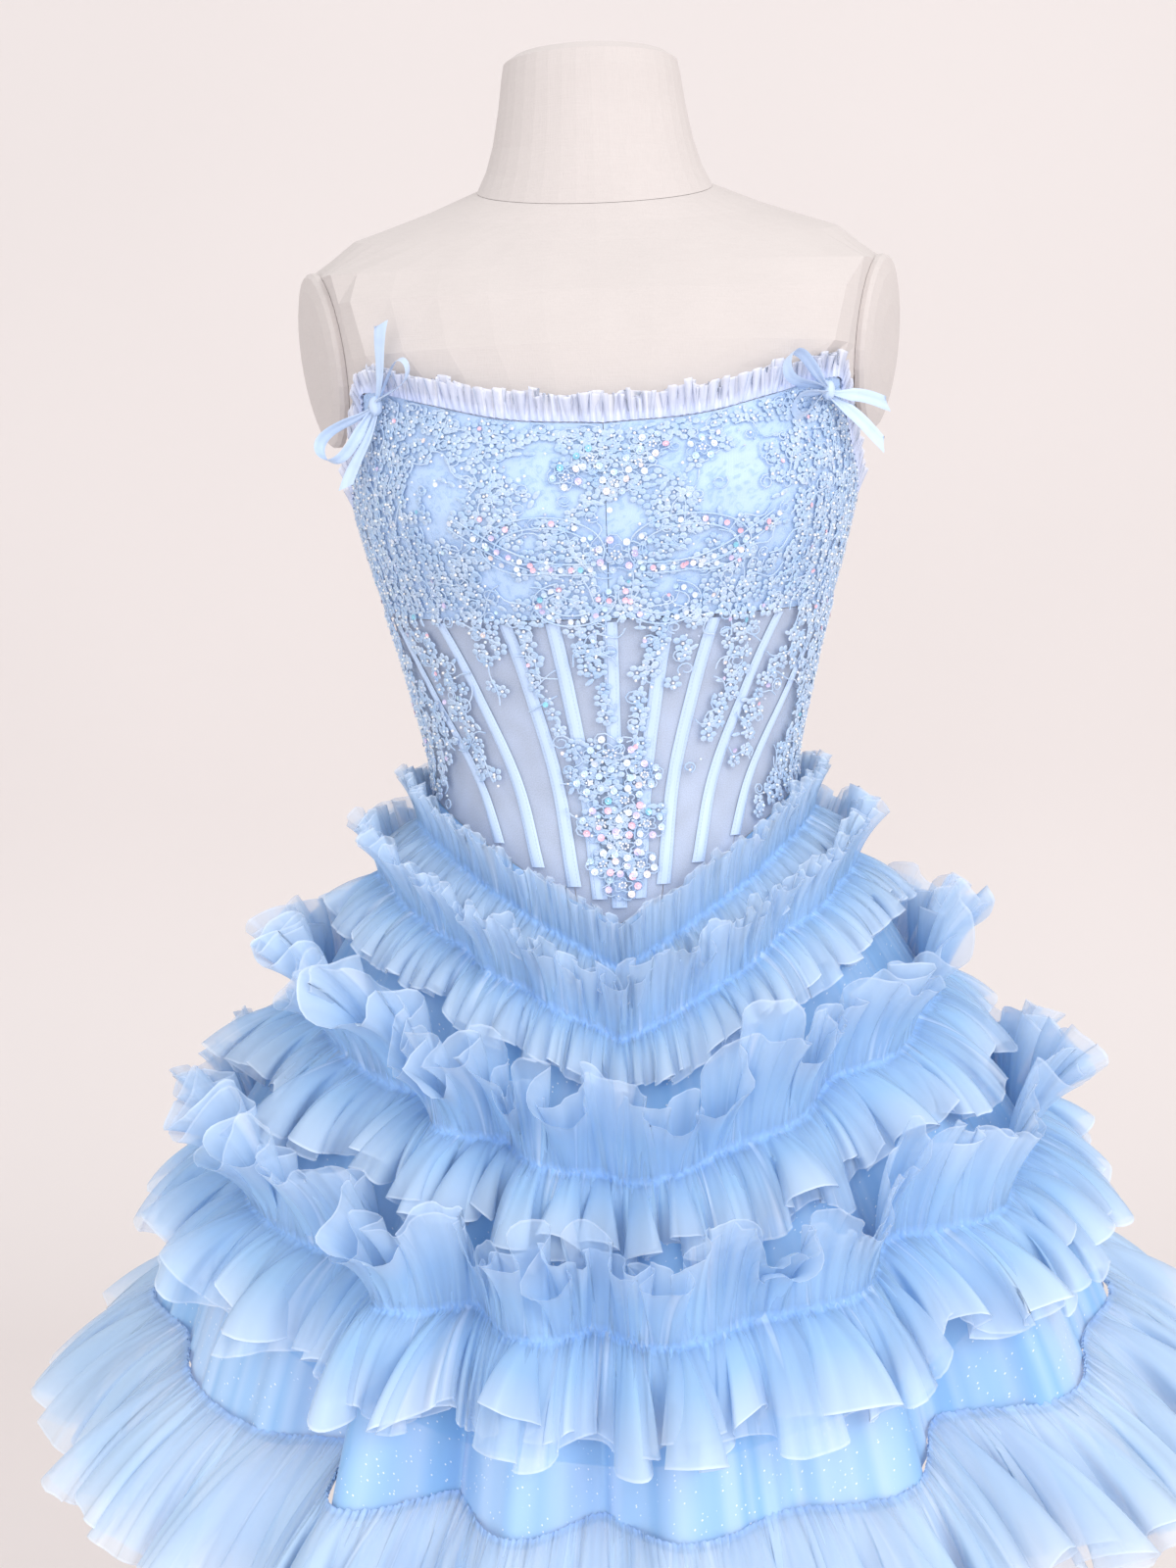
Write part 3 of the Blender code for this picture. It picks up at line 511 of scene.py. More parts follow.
class Finish:
    """A material, built node by node on its Principled shader."""

    def __init__(self, name, **constants):
        self.material = bpy.data.materials.new(name)
        self.material.use_nodes = True
        self.tree = self.material.node_tree
        self.surface = self.tree.nodes["Principled BSDF"]
        for key, value in constants.items():
            socket = "IOR" if key == "ior" else key.replace("_", " ").title()
            self.surface.inputs[socket].default_value = value

    def plug(self, socket, value):
        if isinstance(value, Wire):
            self.tree.links.new(value.socket, socket)
        else:
            socket.default_value = value

    def node(self, kind, settings=None, sockets=None, output=0):
        """One of a new node's outputs. Its settings come first, then its values and links."""
        made = self.tree.nodes.new("ShaderNode" + kind)
        for key, value in (settings or {}).items():
            setattr(made, key, value)
        for key, value in (sockets or {}).items():
            self.plug(made.inputs[key], value)
        return Wire(self, made.outputs[output])

    def cut_map(self):
        """The piece's own map, in metres."""
        return self.node("UVMap", {"uv_map": "cut"})

    def space(self):
        return self.node("TexCoord", output="Object")

    def parts(self, vector):
        """The three numbers of a vector."""
        first = self.node("SeparateXYZ", {}, {0: vector})
        return [first.beside(i) for i in range(3)]

    def share(self, name):
        """A number that the piece carries at each point."""
        return self.node("Attribute", {"attribute_name": name}, {}, "Fac")

    def noise(self, vector, scale, detail):
        return self.node("TexNoise", {}, {"Vector": vector, "Scale": scale, "Detail": detail})

    def stretch(self, vector, scale):
        return self.node("Mapping", {}, {"Vector": vector, "Scale": scale})

    def blend(self, share, low, high):
        """A colour between two."""
        sockets = {"Factor": share, COLOUR_LOW: low, COLOUR_HIGH: high}
        return self.node("Mix", {"data_type": "RGBA"}, sockets, COLOUR_OUT)

    def mottle(self, share, colour, low, high):
        """A colour made lighter or darker by two factors, and even between."""
        return self.blend(share, tint(colour, low), tint(colour, high))

    def bump(self, height, strength, distance):
        sockets = {"Height": height, "Strength": strength, "Distance": distance}
        self.give("Normal", self.node("Bump", {}, sockets))

    def give(self, socket, value):
        self.plug(self.surface.inputs[socket], value)


def tint(colour, by=1.0):
    """A colour with alpha, made lighter or darker by a factor."""
    return (*[min(1.0, part * by) for part in colour[:3]], 1.0)


def toward(colour, other, share):
    return tuple(mix(a, b, share) for a, b in zip(colour[:3], other[:3])) + (1.0,)


WHITE = (1.0, 1.0, 1.0, 1.0)


def satin_finish(name, colour, rough=0.34):
    """Smooth satin: long floats that catch the light, with a faint pull and slub."""
    finish = Finish(name, sheen_weight=0.25, sheen_roughness=0.4, ior=1.45)
    at = finish.cut_map()
    threads = finish.noise(finish.stretch(at, (900.0, 60.0, 1.0)), 1.0, 1.0)
    pull = finish.noise(finish.stretch(at, (24.0, 60.0, 1.0)), 1.0, 3.0)
    finish.give("Base Color", finish.mottle(pull.above(0.3, 0.7), colour, 0.93, 1.06))
    finish.give("Roughness", rough + threads * 0.16)
    finish.bump(threads * 0.4 + pull, 0.5, 0.0006)
    return finish.material


def net_finish(name, colour, cover):
    """Fine net: a lattice of holes too small to count, with a soft cloudy thickness."""
    finish = Finish(name, roughness=0.62, sheen_weight=0.3, sheen_roughness=0.5)
    at = finish.cut_map()
    grain = finish.noise(at, 1400.0, 0.0)
    cloud = finish.noise(at, 34.0, 1.0)
    finish.give("Base Color", finish.mottle(cloud.above(0.3, 0.7), colour, 0.93, 1.06))
    finish.give("Alpha", (cover - 0.20) + grain * 0.24 + cloud * 0.16)
    return finish.material


# Sizes and colours ------------------------------------------------------------------------------


def colour_property(label, tip, value):
    return bpy.props.FloatVectorProperty(
        name=label, description=tip, default=value, size=3, min=0.0, max=1.0, subtype="COLOR"
    )


def length_property(label, tip, value):
    return bpy.props.FloatProperty(
        name=label, description=tip, default=value, min=0.0001, max=1.0, unit="LENGTH", precision=4
    )


def share_property(label, tip, value, high=1.0):
    return bpy.props.FloatProperty(name=label, description=tip, default=value, min=0.0, max=high)


class DressColours(bpy.types.PropertyGroup):
    satin: colour_property("Satin", "Cups, boning channels and bows", (0.54, 0.70, 0.97))
    tulle: colour_property("Tulle", "Tiers and neckline frill", (0.43, 0.68, 1.0))
    # Painted highlight on the tulle's cut edges and ridges, and painted light through its thin edge
    tulle_edge: colour_property("Tulle Edge", "Cut edges of the tulle", (0.76, 0.86, 1.0))
    glitter: colour_property("Glitter Tulle", "Overlay of the skirt", (0.29, 0.58, 0.98))
    lining: colour_property("Lining", "Lining of the skirt", (0.32, 0.61, 1.00))
    net: colour_property("Net", "Sheer panels of the bodice", (0.56, 0.67, 0.90))
    cord: colour_property("Cord", "Embroidery cord of the lace", (0.34, 0.55, 0.86))
    bead: colour_property("Bead", "Seed beads", (0.66, 0.75, 0.95))
    linen: colour_property("Linen", "Cover of the form", (0.63, 0.58, 0.57))
    paint: colour_property("Paint", "Pole and base of the stand", (0.78, 0.76, 0.73))
    room: colour_property("Backdrop", "Floor and backdrop", (0.755, 0.705, 0.70))


class DressSizes(bpy.types.PropertyGroup):
    pleat: length_property("Pleat", "Mean width of a fine pleat", 0.0042)
    column: length_property("Tulle Step", "Width of a cell of the tulle's mesh", 0.0014)
    cover: share_property("Tulle Cover", "How much one layer of tulle hides", 0.56)
    cord: length_property("Cord", "Diameter of the embroidery cord", 0.0011)
    motif: length_property("Motif", "Space between two motifs of the lace", 0.0100)
    bead: length_property("Bead", "Diameter of a seed bead", 0.0020)
    sequin: length_property("Sequin", "Diameter of a sequin", 0.0046)
    glitter: length_property("Glitter", "Space between specks of glitter", 0.0030)


class DressLight(bpy.types.PropertyGroup):
    key: share_property("Key", "Power of the key light in watts", 48.0, 500.0)
    fill: share_property("Fill", "Power of the fill light in watts", 26.0, 500.0)
    air: share_property("Air", "Strength of the light from all round", 0.96, 4.0)


def colours():
    return bpy.context.scene.dress_colours


def sizes():
    return bpy.context.scene.dress_sizes


# Form and stand ---------------------------------------------------------------------------------


def linen_finish(colour):
    """Linen over a hard form: a plain weave with slubs, and a soft mottle."""
    finish = Finish("linen", roughness=0.85, sheen_weight=0.15)
    at = finish.space()
    thread = 1.0 / 0.0007
    warp = finish.noise(finish.stretch(at, (thread, thread, thread * 0.06)), 1.0, 1.0)
    weft = finish.noise(finish.stretch(at, (thread * 0.06, thread * 0.06, thread)), 1.0, 1.0)
    mottle = finish.noise(at, 26.0, 3.0)
    share = warp * 0.35 + weft * 0.35 + mottle * 0.4
    finish.give("Base Color", finish.mottle(share.above(0.3, 0.8), colour, 0.95, 1.03))
    finish.bump(warp + weft, 0.35, 0.0003)
    return finish.material


def paint_finish(colour):
    """Stove enamel with a faint orange peel, duller where it is handled."""
    finish = Finish("stand_paint")
    at = finish.space()
    peel = finish.noise(at, 420.0, 2.0)
    worn = finish.noise(at, 14.0, 4.0)
    finish.give("Base Color", finish.mottle(worn.above(0.35, 0.75), colour, 1.0, 0.95))
    finish.give("Roughness", 0.34 + worn * 0.16)
    finish.bump(peel, 0.2, 0.0003)
    return finish.material


def steel_finish():
    finish = Finish("zip_steel", metallic=1.0, base_color=(0.66, 0.68, 0.71, 1.0))
    at = finish.space()
    brushed = finish.noise(finish.stretch(at, (2600.0, 2600.0, 300.0)), 1.0, 1.0)
    finish.give("Roughness", 0.24 + brushed * 0.18)
    finish.bump(brushed, 0.15, 0.0001)
    return finish.material


def repaint(finish, *names):
    """Gives solids that stay their finish."""
    for name in names:
        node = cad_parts[name]
        node.data.materials.clear()
        node.data.materials.append(finish)


class DRESS_OT_form(bpy.types.Operator):
    """Covers the form in linen and paints its stand"""

    bl_idname = "dress.form"
    bl_label = "Form and Stand"

    def execute(self, context):
        form = ("form_torso", "form_neck", "form_arm_plate_left", "form_arm_plate_right")
        repaint(linen_finish(colours().linen), *form)
        repaint(paint_finish(colours().paint), "stand_base", "stand_pole", "stand_flange")
        return {"FINISHED"}


# Bodice -----------------------------------------------------------------------------------------


def bodice_sheet(name, start, end, levels, out):
    """A sheet of the bodice from one column line to another, clear of both."""
    lines = np.linspace(start, end, SHEET_COLUMNS + 1)
    shift = np.zeros(SHEET_COLUMNS + 1)
    shift[0] = ZIP_OPENING if abs(start) == LAST_LINE else SEAM / 2
    shift[-1] = -ZIP_OPENING if abs(end) == LAST_LINE else -SEAM / 2
    grid = bodice(lines[None, :], np.asarray(levels)[:, None], out, shift[None, :])
    return cloth(name, grid), grid


class DRESS_OT_cups(bpy.types.Operator):
    """Lays the satin cups on the form"""

    bl_idname = "dress.cups"
    bl_label = "Satin Cups"

    def execute(self, context):
        finish = satin_finish("cup_satin", colours().satin)
        levels = np.linspace(-1.0, 0.0, 33)
        for side, start, end in (("left", -4, 0), ("right", 0, 4)):
            piece, grid = bodice_sheet("satin_cup_" + side, start, end, levels, OFF_FORM + 0.0006)
            wear(piece, finish, "satin", "cup_" + side)
        return {"FINISHED"}


class DRESS_OT_panels(bpy.types.Operator):
    """Lays the sheer net panels of the bodice on the form"""

    bl_idname = "dress.panels"
    bl_label = "Sheer Panels"

    def execute(self, context):
        finish = net_finish("sheer_net", colours().net, 0.66)
        for panel in PANELS:
            levels = np.linspace(-1.0 if panel.full else 0.004, 1.0, 41)
            piece, grid = bodice_sheet(
                panel.name.replace("mesh", "net"), panel.start, panel.end, levels, OFF_FORM + 0.0005
            )
            wear(piece, finish, "mesh", panel.name)
        return {"FINISHED"}


def bone_finish(colour):
    """Satin channel: a crown between two rows of stitches."""
    finish = Finish("bone_satin", sheen_weight=0.15, sheen_roughness=0.35)
    across, down, _ = finish.parts(finish.cut_map())
    side = across.size()
    row = 1 - (side - BONE_WIDTH * 0.36).size().above(0.0002, 0.0005)
    stitch = row * (down * (2 * math.pi / 0.0024)).sine().above(-0.4, 0.2)
    slub = finish.noise(finish.stretch(finish.cut_map(), (2200.0, 90.0, 1.0)), 1.0, 2.0)
    base = finish.blend(slub.above(0.3, 0.7), tint(colour, 0.96), toward(colour, WHITE, 0.14))
    finish.give("Base Color", finish.blend(stitch * 0.5, base, tint(colour, 0.78)))
    finish.give("Roughness", 0.3 + slub * 0.15)
    finish.bump(slub * 0.3 - row, 0.5, 0.0004)
    return finish.material


class DRESS_OT_bones(bpy.types.Operator):
    """Sews the boning channels over the panels"""

    bl_idname = "dress.bones"
    bl_label = "Boning Channels"

    def execute(self, context):
        finish = bone_finish(colours().satin)
        across = np.linspace(-1.0, 1.0, 9)
        crown = BONE_CLOTH * np.sqrt(np.clip(1 - across**2, 0.0, 1.0)) * 0.9
        for number in BONE_LINES:
            levels = np.linspace(-1.0 if number > 4 else 0.01, 0.95, 60)[:, None]
            for side in (1,) if number == 0 else (-1, 1):
                place = "" if number == 0 else "_left" if side < 0 else "_right"
                out, shift = ON_MESH - 0.0004 + crown, across * BONE_WIDTH / 2
                grid = bodice(side * float(number), levels, out, shift)
                piece = cloth(f"channel_{number}{place}", grid)
                wear(piece, finish, "satin", f"bone_{number}{place}")
        return {"FINISHED"}


# Lace -------------------------------------------------------------------------------------------


class Heap:
    """Many small shapes that become one mesh."""

    def __init__(self):
        self.places, self.faces, self.tones, self.count = [], [], [], 0

    def add(self, places, faces, tones):
        """Adds shapes of the same faces. Places is shapes x points x 3, and tones has a colour for
        each shape or for each of its points."""
        shapes, corners = places.shape[:2]
        if not shapes:
            return
        starts = self.count + np.arange(shapes)[:, None, None] * corners
        self.places.append(places.reshape(-1, 3))
        self.faces += (starts + np.asarray(faces)[None]).reshape(-1, len(faces[0])).tolist()
        tones = np.asarray(tones, float)
        if tones.ndim == 2:
            tones = np.repeat(tones, corners, axis=0)
        self.tones.append(tones.reshape(-1, 3))
        self.count += shapes * corners

    def build(self, name):
        piece = mesh_object(name, np.concatenate(self.places), self.faces)
        tones = np.concatenate(self.tones)
        layer = piece.data.color_attributes.new("tone", "FLOAT_COLOR", "POINT")
        full = np.concatenate([tones, np.ones((len(tones), 1))], axis=1)
        layer.data.foreach_set("color", full.astype(np.float32).ravel())
        return piece


CORD_SIDES = 4


def tube_faces(steps, closed):
    """Faces of a cord from ring to ring."""
    sides, faces = CORD_SIDES, []
    for i in range(steps if closed else steps - 1):
        for j in range(sides):
            a, b = i * sides, ((i + 1) % steps) * sides
            k = (j + 1) % sides
            faces.append((a + j, a + k, b + k, b + j))
    return faces


def tubes(paths, normals, radius, closed=False):
    """Points of cords along paths: paths x steps x sides."""
    if closed:
        ahead = np.roll(paths, -1, axis=1) - np.roll(paths, 1, axis=1)
    else:
        ahead = np.gradient(paths, axis=1)
    ahead = unit(ahead)
    beside = unit(np.cross(normals, ahead))
    up = np.cross(ahead, beside)
    turns = 2 * np.pi * np.arange(CORD_SIDES) / CORD_SIDES
    ring = beside[:, :, None] * np.cos(turns)[:, None] + up[:, :, None] * np.sin(turns)[:, None]
    at = paths[:, :, None] + ring * radius
    return at.reshape(len(paths), -1, 3)


def bead_shape():
    """A ball of 20 faces, of radius 1."""
    golden = (1 + 5**0.5) / 2
    corners = []
    for a in (-1, 1):
        for b in (-golden, golden):
            corners += [(0, a, b), (a, b, 0), (b, 0, a)]
    corners = np.array(corners, float) / math.hypot(1, golden)
    near = 2.1 / math.hypot(1, golden)
    faces = []
    for i in range(12):
        for j in range(i + 1, 12):
            for k in range(j + 1, 12):
                trio = corners[[i, j, k]]
                if max(np.linalg.norm(trio[m] - trio[m - 1]) for m in range(3)) < near:
                    facing = np.cross(trio[1] - trio[0], trio[2] - trio[0])
                    outward = np.dot(facing, trio.sum(axis=0)) > 0
                    faces.append((i, j, k) if outward else (i, k, j))
    return corners, faces


# How far the lace's work stays from the neckline and the waist seam, the height over which it
# steps up onto the cups, and the heights and angle between which it is strewn
TRIM_TOP, TRIM_WAIST, CUP_STEP = 0.0016, 0.0040, 0.004
LACE_LOW, LACE_HIGH, LACE_BACK = 0.99, 1.29, 177.5
ROW_SHARE = 0.866  # of the spacing in a row, from each row to the next


def on_bodice(across, rise, angle, height, out):
    """Points drawn flat in metres about a centre, laid on the cups or the boning, and kept inside
    the bodice's edges. Out is from the cloth that the lace lies on."""
    around = figure(height, angle)
    radius = np.hypot(around[..., 0], around[..., 1])
    at = angle + np.degrees(across / radius)
    high = np.minimum(height + rise, neckline(at) - TRIM_TOP)
    high = np.maximum(high, waist(at) + TRIM_WAIST)
    on_cups = np.clip((high - underbust(at)) / CUP_STEP, 0.0, 1.0)
    return lifted(figure, high, at, mix(ON_BONES, ON_PANEL + 0.0007, on_cups) + out)


def lace_place(angle, height):
    """The column line and the level of a place on the bodice."""
    numbers = np.array([row.number for row in LINES], float)
    low, high = underbust(angle), neckline(angle)
    level = -(height - low) / (high - low)
    if level > 0:
        level = (low - height) / (low - waist(angle))
    share = max(level, 0.0)
    angles = [mix(row.upper, row.waist, share) for row in LINES]
    return math.copysign(np.interp(abs(angle), angles, numbers), angle), level


def lace_density(angle, height):
    """How close the lace is at a place: 1 where it covers, 0 where there is none."""
    line, level = lace_place(angle, height)
    side = abs(line)
    if level <= 0:
        if side > 2.75 or level < -0.90:
            return 1.0
        if level > -0.10:
            return 0.9
        vines = math.sin(line * 4.3 + level * 6.0) + math.sin(line * 2.6 - level * 8.0 + 1.0)
        most = 0.62 if line < 0.8 else 0.46
        return min(max(most + 0.42 * vines, 0.12), 1.0)
    for finger in FINGERS:
        bend = 0.12 * math.sin(level * 9.0 + finger.line * 2.0)
        width = finger.half * (1.0 - 0.5 * level / finger.reach)
        if abs(line - finger.line - bend) < width and level < finger.reach:
            return 1.0
    edge = 0.74 + 0.30 * math.sin(level * 46.0 + (1.5 if line > 0 else 0.0))
    if 0.42 < level < 0.95 and side < spray_half(level) * edge:
        return 0.85
    return 0.0


def spray_half(level):
    share = (level - 0.34) / 0.59
    return SPRAY_HALF * (0.34 + 0.66 * math.sin(math.pi * min(max(0.10 + 0.80 * share, 0.0), 1.0)))


def scatter(spacing, rng, jitter=0.34):
    """Places over the bodice, evenly spaced with a little disorder, where there is lace."""
    found = []
    round_body = np.linspace(-180, 180, 181)
    for i in range(int((LACE_HIGH - LACE_LOW) / (spacing * ROW_SHARE))):
        height = LACE_LOW + i * spacing * ROW_SHARE
        ring = figure(height, round_body)
        steps = np.linalg.norm(np.diff(ring, axis=0), axis=1)
        length = np.concatenate([[0.0], np.cumsum(steps)])
        count = int(length[-1] / spacing)
        along = (np.arange(count) + 0.5 * (i % 2) + rng.uniform(-jitter, jitter, count)) * spacing
        angles = np.interp(along, length, round_body)
        heights = height + rng.uniform(-jitter, jitter, count) * spacing
        for angle, at in zip(angles, heights):
            top, bottom = neckline(angle) - 0.002, waist(angle) + 0.006
            if abs(angle) > LACE_BACK or at > top or at < bottom:
                continue
            if rng.random() < lace_density(angle, at):
                found.append((angle, at))
    return np.array(found)


PETAL_SIDES, PETAL_RIM = 7, 0.68
PETAL_SEAT, PETAL_RAISED = 0.0002, 0.0008
FLOWER_STEPS, SCROLL_STEPS, CURL_STEPS, STEM_STEPS = 25, 40, 12, 9
CORD_OUT = 0.0008  # from the cloth below the lace to a cord's middle
PLAIN = (1.0, 1.0, 1.0)  # the tone of a cord that has none of its own
HEART_TONE, PETAL_BEAD_TONE = (0.90, 0.92, 0.98), (0.80, 0.86, 0.97)


def petal_shape():
    """A corded petal of radius 1: a hollow middle, a raised rim and an edge on the cloth."""
    turns = 2 * np.pi * np.arange(PETAL_SIDES) / PETAL_SIDES
    rings = [(0.0, 0.0, 0.1)]
    rings += [(PETAL_RIM * math.cos(turn), PETAL_RIM * math.sin(turn), 1.0) for turn in turns]
    rings += [(math.cos(turn), math.sin(turn), 0.0) for turn in turns]
    faces = []
    for j in range(PETAL_SIDES):
        a, b = j + 1, (j + 1) % PETAL_SIDES + 1
        faces += [(0, a, b), (a, a + PETAL_SIDES, b + PETAL_SIDES), (a, b + PETAL_SIDES, b)]
    return np.array(rings), faces


def petals(heap, centres, distance, radius, count, rng, slim=1.0):
    """Petals round centres on the bodice. Distance and radius are one for each centre."""
    shape, faces = petal_shape()
    start = rng.uniform(0, 2 * np.pi, (len(centres), 1))
    for i in range(count):
        turn = start + 2 * np.pi * i / count + rng.normal(0, 0.08, start.shape)
        along = shape[None, :, 0] * radius[:, None] + distance[:, None]
        beside = shape[None, :, 1] * radius[:, None] * slim
        across = along * np.cos(turn) - beside * np.sin(turn)
        rise = along * np.sin(turn) + beside * np.cos(turn)
        out = PETAL_SEAT + shape[None, :, 2] * PETAL_RAISED
        at, _ = on_bodice(across, rise, centres[:, 0:1], centres[:, 1:2], out)
        tones = np.ones((len(centres), len(shape), 3))
        # Tone 0 marks the middle, which the cord's finish paints as satin in painted shade
        tones[:, 0] = 0.0
        heap.add(at, faces, tones)


def curl_lines(count, steps, rng):
    """Small open curls: a turn and a half that winds in, each with its own size and start."""
    part = np.linspace(0.0, 1.0, steps)[None]
    size = rng.uniform(0.0030, 0.0052, (count, 1))
    start = rng.uniform(0, 2 * np.pi, (count, 1))
    hand = rng.choice([-1.0, 1.0], (count, 1))
    turn = start + hand * part * 2 * np.pi * rng.uniform(1.0, 1.5, (count, 1))
    radius = size * (1.0 - 0.62 * part)
    return radius * np.cos(turn), radius * np.sin(turn)


def flower_lines(count, steps, rng, least, most):
    """Outlines of flowers of five petals, of radii between two."""
    turn = np.linspace(0, 2 * np.pi, steps, endpoint=False)[None]
    radius = rng.uniform(least, most, (count, 1))
    start = rng.uniform(0, 2 * np.pi, (count, 1))
    edge = radius * (0.52 + 0.48 * np.abs(np.cos(2.5 * (turn - start))))
    return edge * np.cos(turn), edge * np.sin(turn)


def stem_lines(count, steps, rng):
    """Short wandering stems that join the motifs."""
    part = np.linspace(-1.0, 1.0, steps)[None]
    length = rng.uniform(0.008, 0.015, (count, 1))
    start = rng.uniform(0, 2 * np.pi, (count, 1))
    bow = rng.uniform(-0.004, 0.004, (count, 1))
    x, y = part * length, bow * np.sin(part * np.pi * rng.uniform(0.8, 1.4, (count, 1)))
    return x * np.cos(start) - y * np.sin(start), x * np.sin(start) + y * np.cos(start)


Tone = namedtuple("Tone", "colour share")
SEQUIN_TONES = (
    Tone((0.74, 0.82, 0.96), 0.27),
    Tone((0.56, 0.72, 0.96), 0.24),
    Tone((0.92, 0.58, 0.72), 0.15),
    Tone((0.70, 0.62, 0.92), 0.12),
    Tone((0.25, 0.60, 0.80), 0.05),
    Tone((0.55, 0.76, 0.92), 0.12),
    Tone((0.95, 0.84, 0.84), 0.05),
)
SEQUIN_SIDES = 8


def sequins(heap, across, rise, angle, height, out, radius, rng):
    """Cupped sequins laid at places, each tipped a little its own way."""
    at, normal = on_bodice(across, rise, angle, height, out)
    count = len(at)
    tip = rng.normal(0.0, 0.20, (count, 3))
    normal = unit(normal + tip)
    beside = unit(np.cross(normal, np.array([0.0, 0.0, 1.0])))
    other = np.cross(normal, beside)
    turns = 2 * np.pi * np.arange(SEQUIN_SIDES) / SEQUIN_SIDES
    radius = np.broadcast_to(radius, (count,))[:, None, None]
    ring = beside[:, None] * np.cos(turns)[:, None] + other[:, None] * np.sin(turns)[:, None]
    ring = at[:, None] + ring * radius + normal[:, None] * radius * 0.30
    places = np.concatenate([at[:, None], ring], axis=1)
    faces = [(0, j + 1, (j + 1) % SEQUIN_SIDES + 1) for j in range(SEQUIN_SIDES)]
    shares = [tone.share for tone in SEQUIN_TONES]
    picked = rng.choice(len(SEQUIN_TONES), count, p=shares)
    heap.add(places, faces, np.array([tone.colour for tone in SEQUIN_TONES])[picked])


def beads(heap, at, radius, tones):
    corners, faces = bead_shape()
    radius = np.broadcast_to(radius, (len(at),))[:, None, None]
    heap.add(at[:, None] + corners[None] * radius, faces, tones)


def cord_finish(colour, ground):
    """Twisted embroidery cord."""
    finish = Finish("lace_cord", roughness=0.5, sheen_weight=0.3)
    at = finish.space()
    twist = finish.noise(at, 1500.0, 1.0)
    shade = finish.noise(at, 90.0, 2.0)
    share = twist * 0.6 + shade * 0.6
    thread = finish.blend(share.above(0.35, 0.85), tint(colour), toward(colour, WHITE, 0.55))
    # Each petal's middle shows the satin's colour, darkened as painted shade in its hollow
    hollow = finish.share("tone").above(0.1, 0.7)
    finish.give("Base Color", finish.blend(hollow, tint(ground, 0.84), thread))
    finish.bump(twist, 0.5, 0.0004)
    return finish.material


def tone_finish(name, rough, metallic, coat=0.0):
    """Beads and sequins, each of its own tone."""
    finish = Finish(name, metallic=metallic, coat_weight=coat, coat_roughness=0.08)
    tone = finish.node("Attribute", {"attribute_name": "tone"}, {}, "Color")
    glint = finish.noise(finish.space(), 700.0, 1.0)
    finish.give("Base Color", finish.blend(glint.above(0.5, 0.8) * 0.25, tone, WHITE))
    finish.give("Roughness", rough + glint * 0.14)
    return finish.material


def ground_finish(colour, cover):
    """Net ground of the lace: barely there, with scattered thread runs."""
    finish = Finish("lace_ground", roughness=0.62, sheen_weight=0.2)
    at = finish.cut_map()
    run = (finish.noise(at, 150.0, 1.0) * 22.0).sine().above(0.45, 0.9)
    grain = finish.noise(at, 1500.0, 0.0)
    finish.give("Base Color", finish.mottle(run, colour, 1.1, 0.9))
    finish.give("Alpha", (run * cover + grain * 0.14) * finish.share("fade"))
    return finish.material


def lay_out(angle_height, lines, out):
    """Drawn lines, laid on the bodice about each of their centres."""
    angle, height = angle_height[:, 0:1], angle_height[:, 1:2]
    return on_bodice(lines[0], lines[1], angle, height, out)


def embroider(rng):
    """The petals, cords, beads and sequins over the whole bodice."""
    cords, worked, small, shine = Heap(), Heap(), Heap(), Heap()
    size = sizes()

    flowers = scatter(size.motif, rng, jitter=0.22)
    reach = size.motif * rng.uniform(0.40, 0.54, len(flowers))
    petals(worked, flowers, reach * 0.64, reach * 0.38, 5, rng)
    leaves = scatter(size.motif * 1.5, rng)
    leaf = np.full(len(leaves), 0.0030)
    petals(worked, leaves, leaf, leaf, 2, rng, slim=0.45)
    curls = scatter(size.motif * 1.5, rng)
    stems = scatter(size.motif * 1.9, rng)
    drawings = (
        (curls, curl_lines(len(curls), CURL_STEPS, rng), CURL_STEPS),
        (stems, stem_lines(len(stems), STEM_STEPS, rng), STEM_STEPS),
    )
    for places, lines, steps in drawings:
        at, normal = lay_out(places, lines, 0.0007)
        shape = tubes(at, normal, size.cord / 2)
        cords.add(shape, tube_faces(steps, False), [PLAIN] * len(places))

    # A bead at the heart of each flower, and loose ones between
    loose = scatter(size.motif * 0.85, rng)
    at = np.concatenate([
        on_bodice(0.0, 0.0, flowers[:, 0], flowers[:, 1], 0.0010)[0],
        on_bodice(0.0, 0.0, loose[:, 0], loose[:, 1], 0.0010)[0],
    ])
    shade = rng.uniform(0.8, 1.3, (len(at), 1))
    pale = rng.random((len(at), 1)) < 0.5
    tones = np.clip(np.where(pale, 0.93, np.array(colours().bead)[None] * shade), 0, 1)
    beads(small, at, size.bead / 2 * rng.uniform(0.75, 1.15, len(at)), tones)

    # Scattered sequins, then the scrolls at the bust and the spray down the front
    loose = scatter(size.motif * 2.1, rng)
    zero = np.zeros(len(loose))
    dot = size.sequin / 2 * rng.uniform(0.5, 0.8, len(loose))
    sequins(shine, zero, zero, loose[:, 0], loose[:, 1], 0.0012, dot, rng)
    scrollwork(cords, shine, small, rng)
    spray(cords, shine, small, rng)
    return cords, worked, small, shine


Place = namedtuple("Place", "angle height")
BUST_FLOWERS = (
    Place(-3.0, 1.236),
    Place(7.0, 1.233),
    Place(-8.0, 1.226),
    Place(2.0, 1.222),
    Place(10.0, 1.243),
    Place(20.0, 1.240),
)


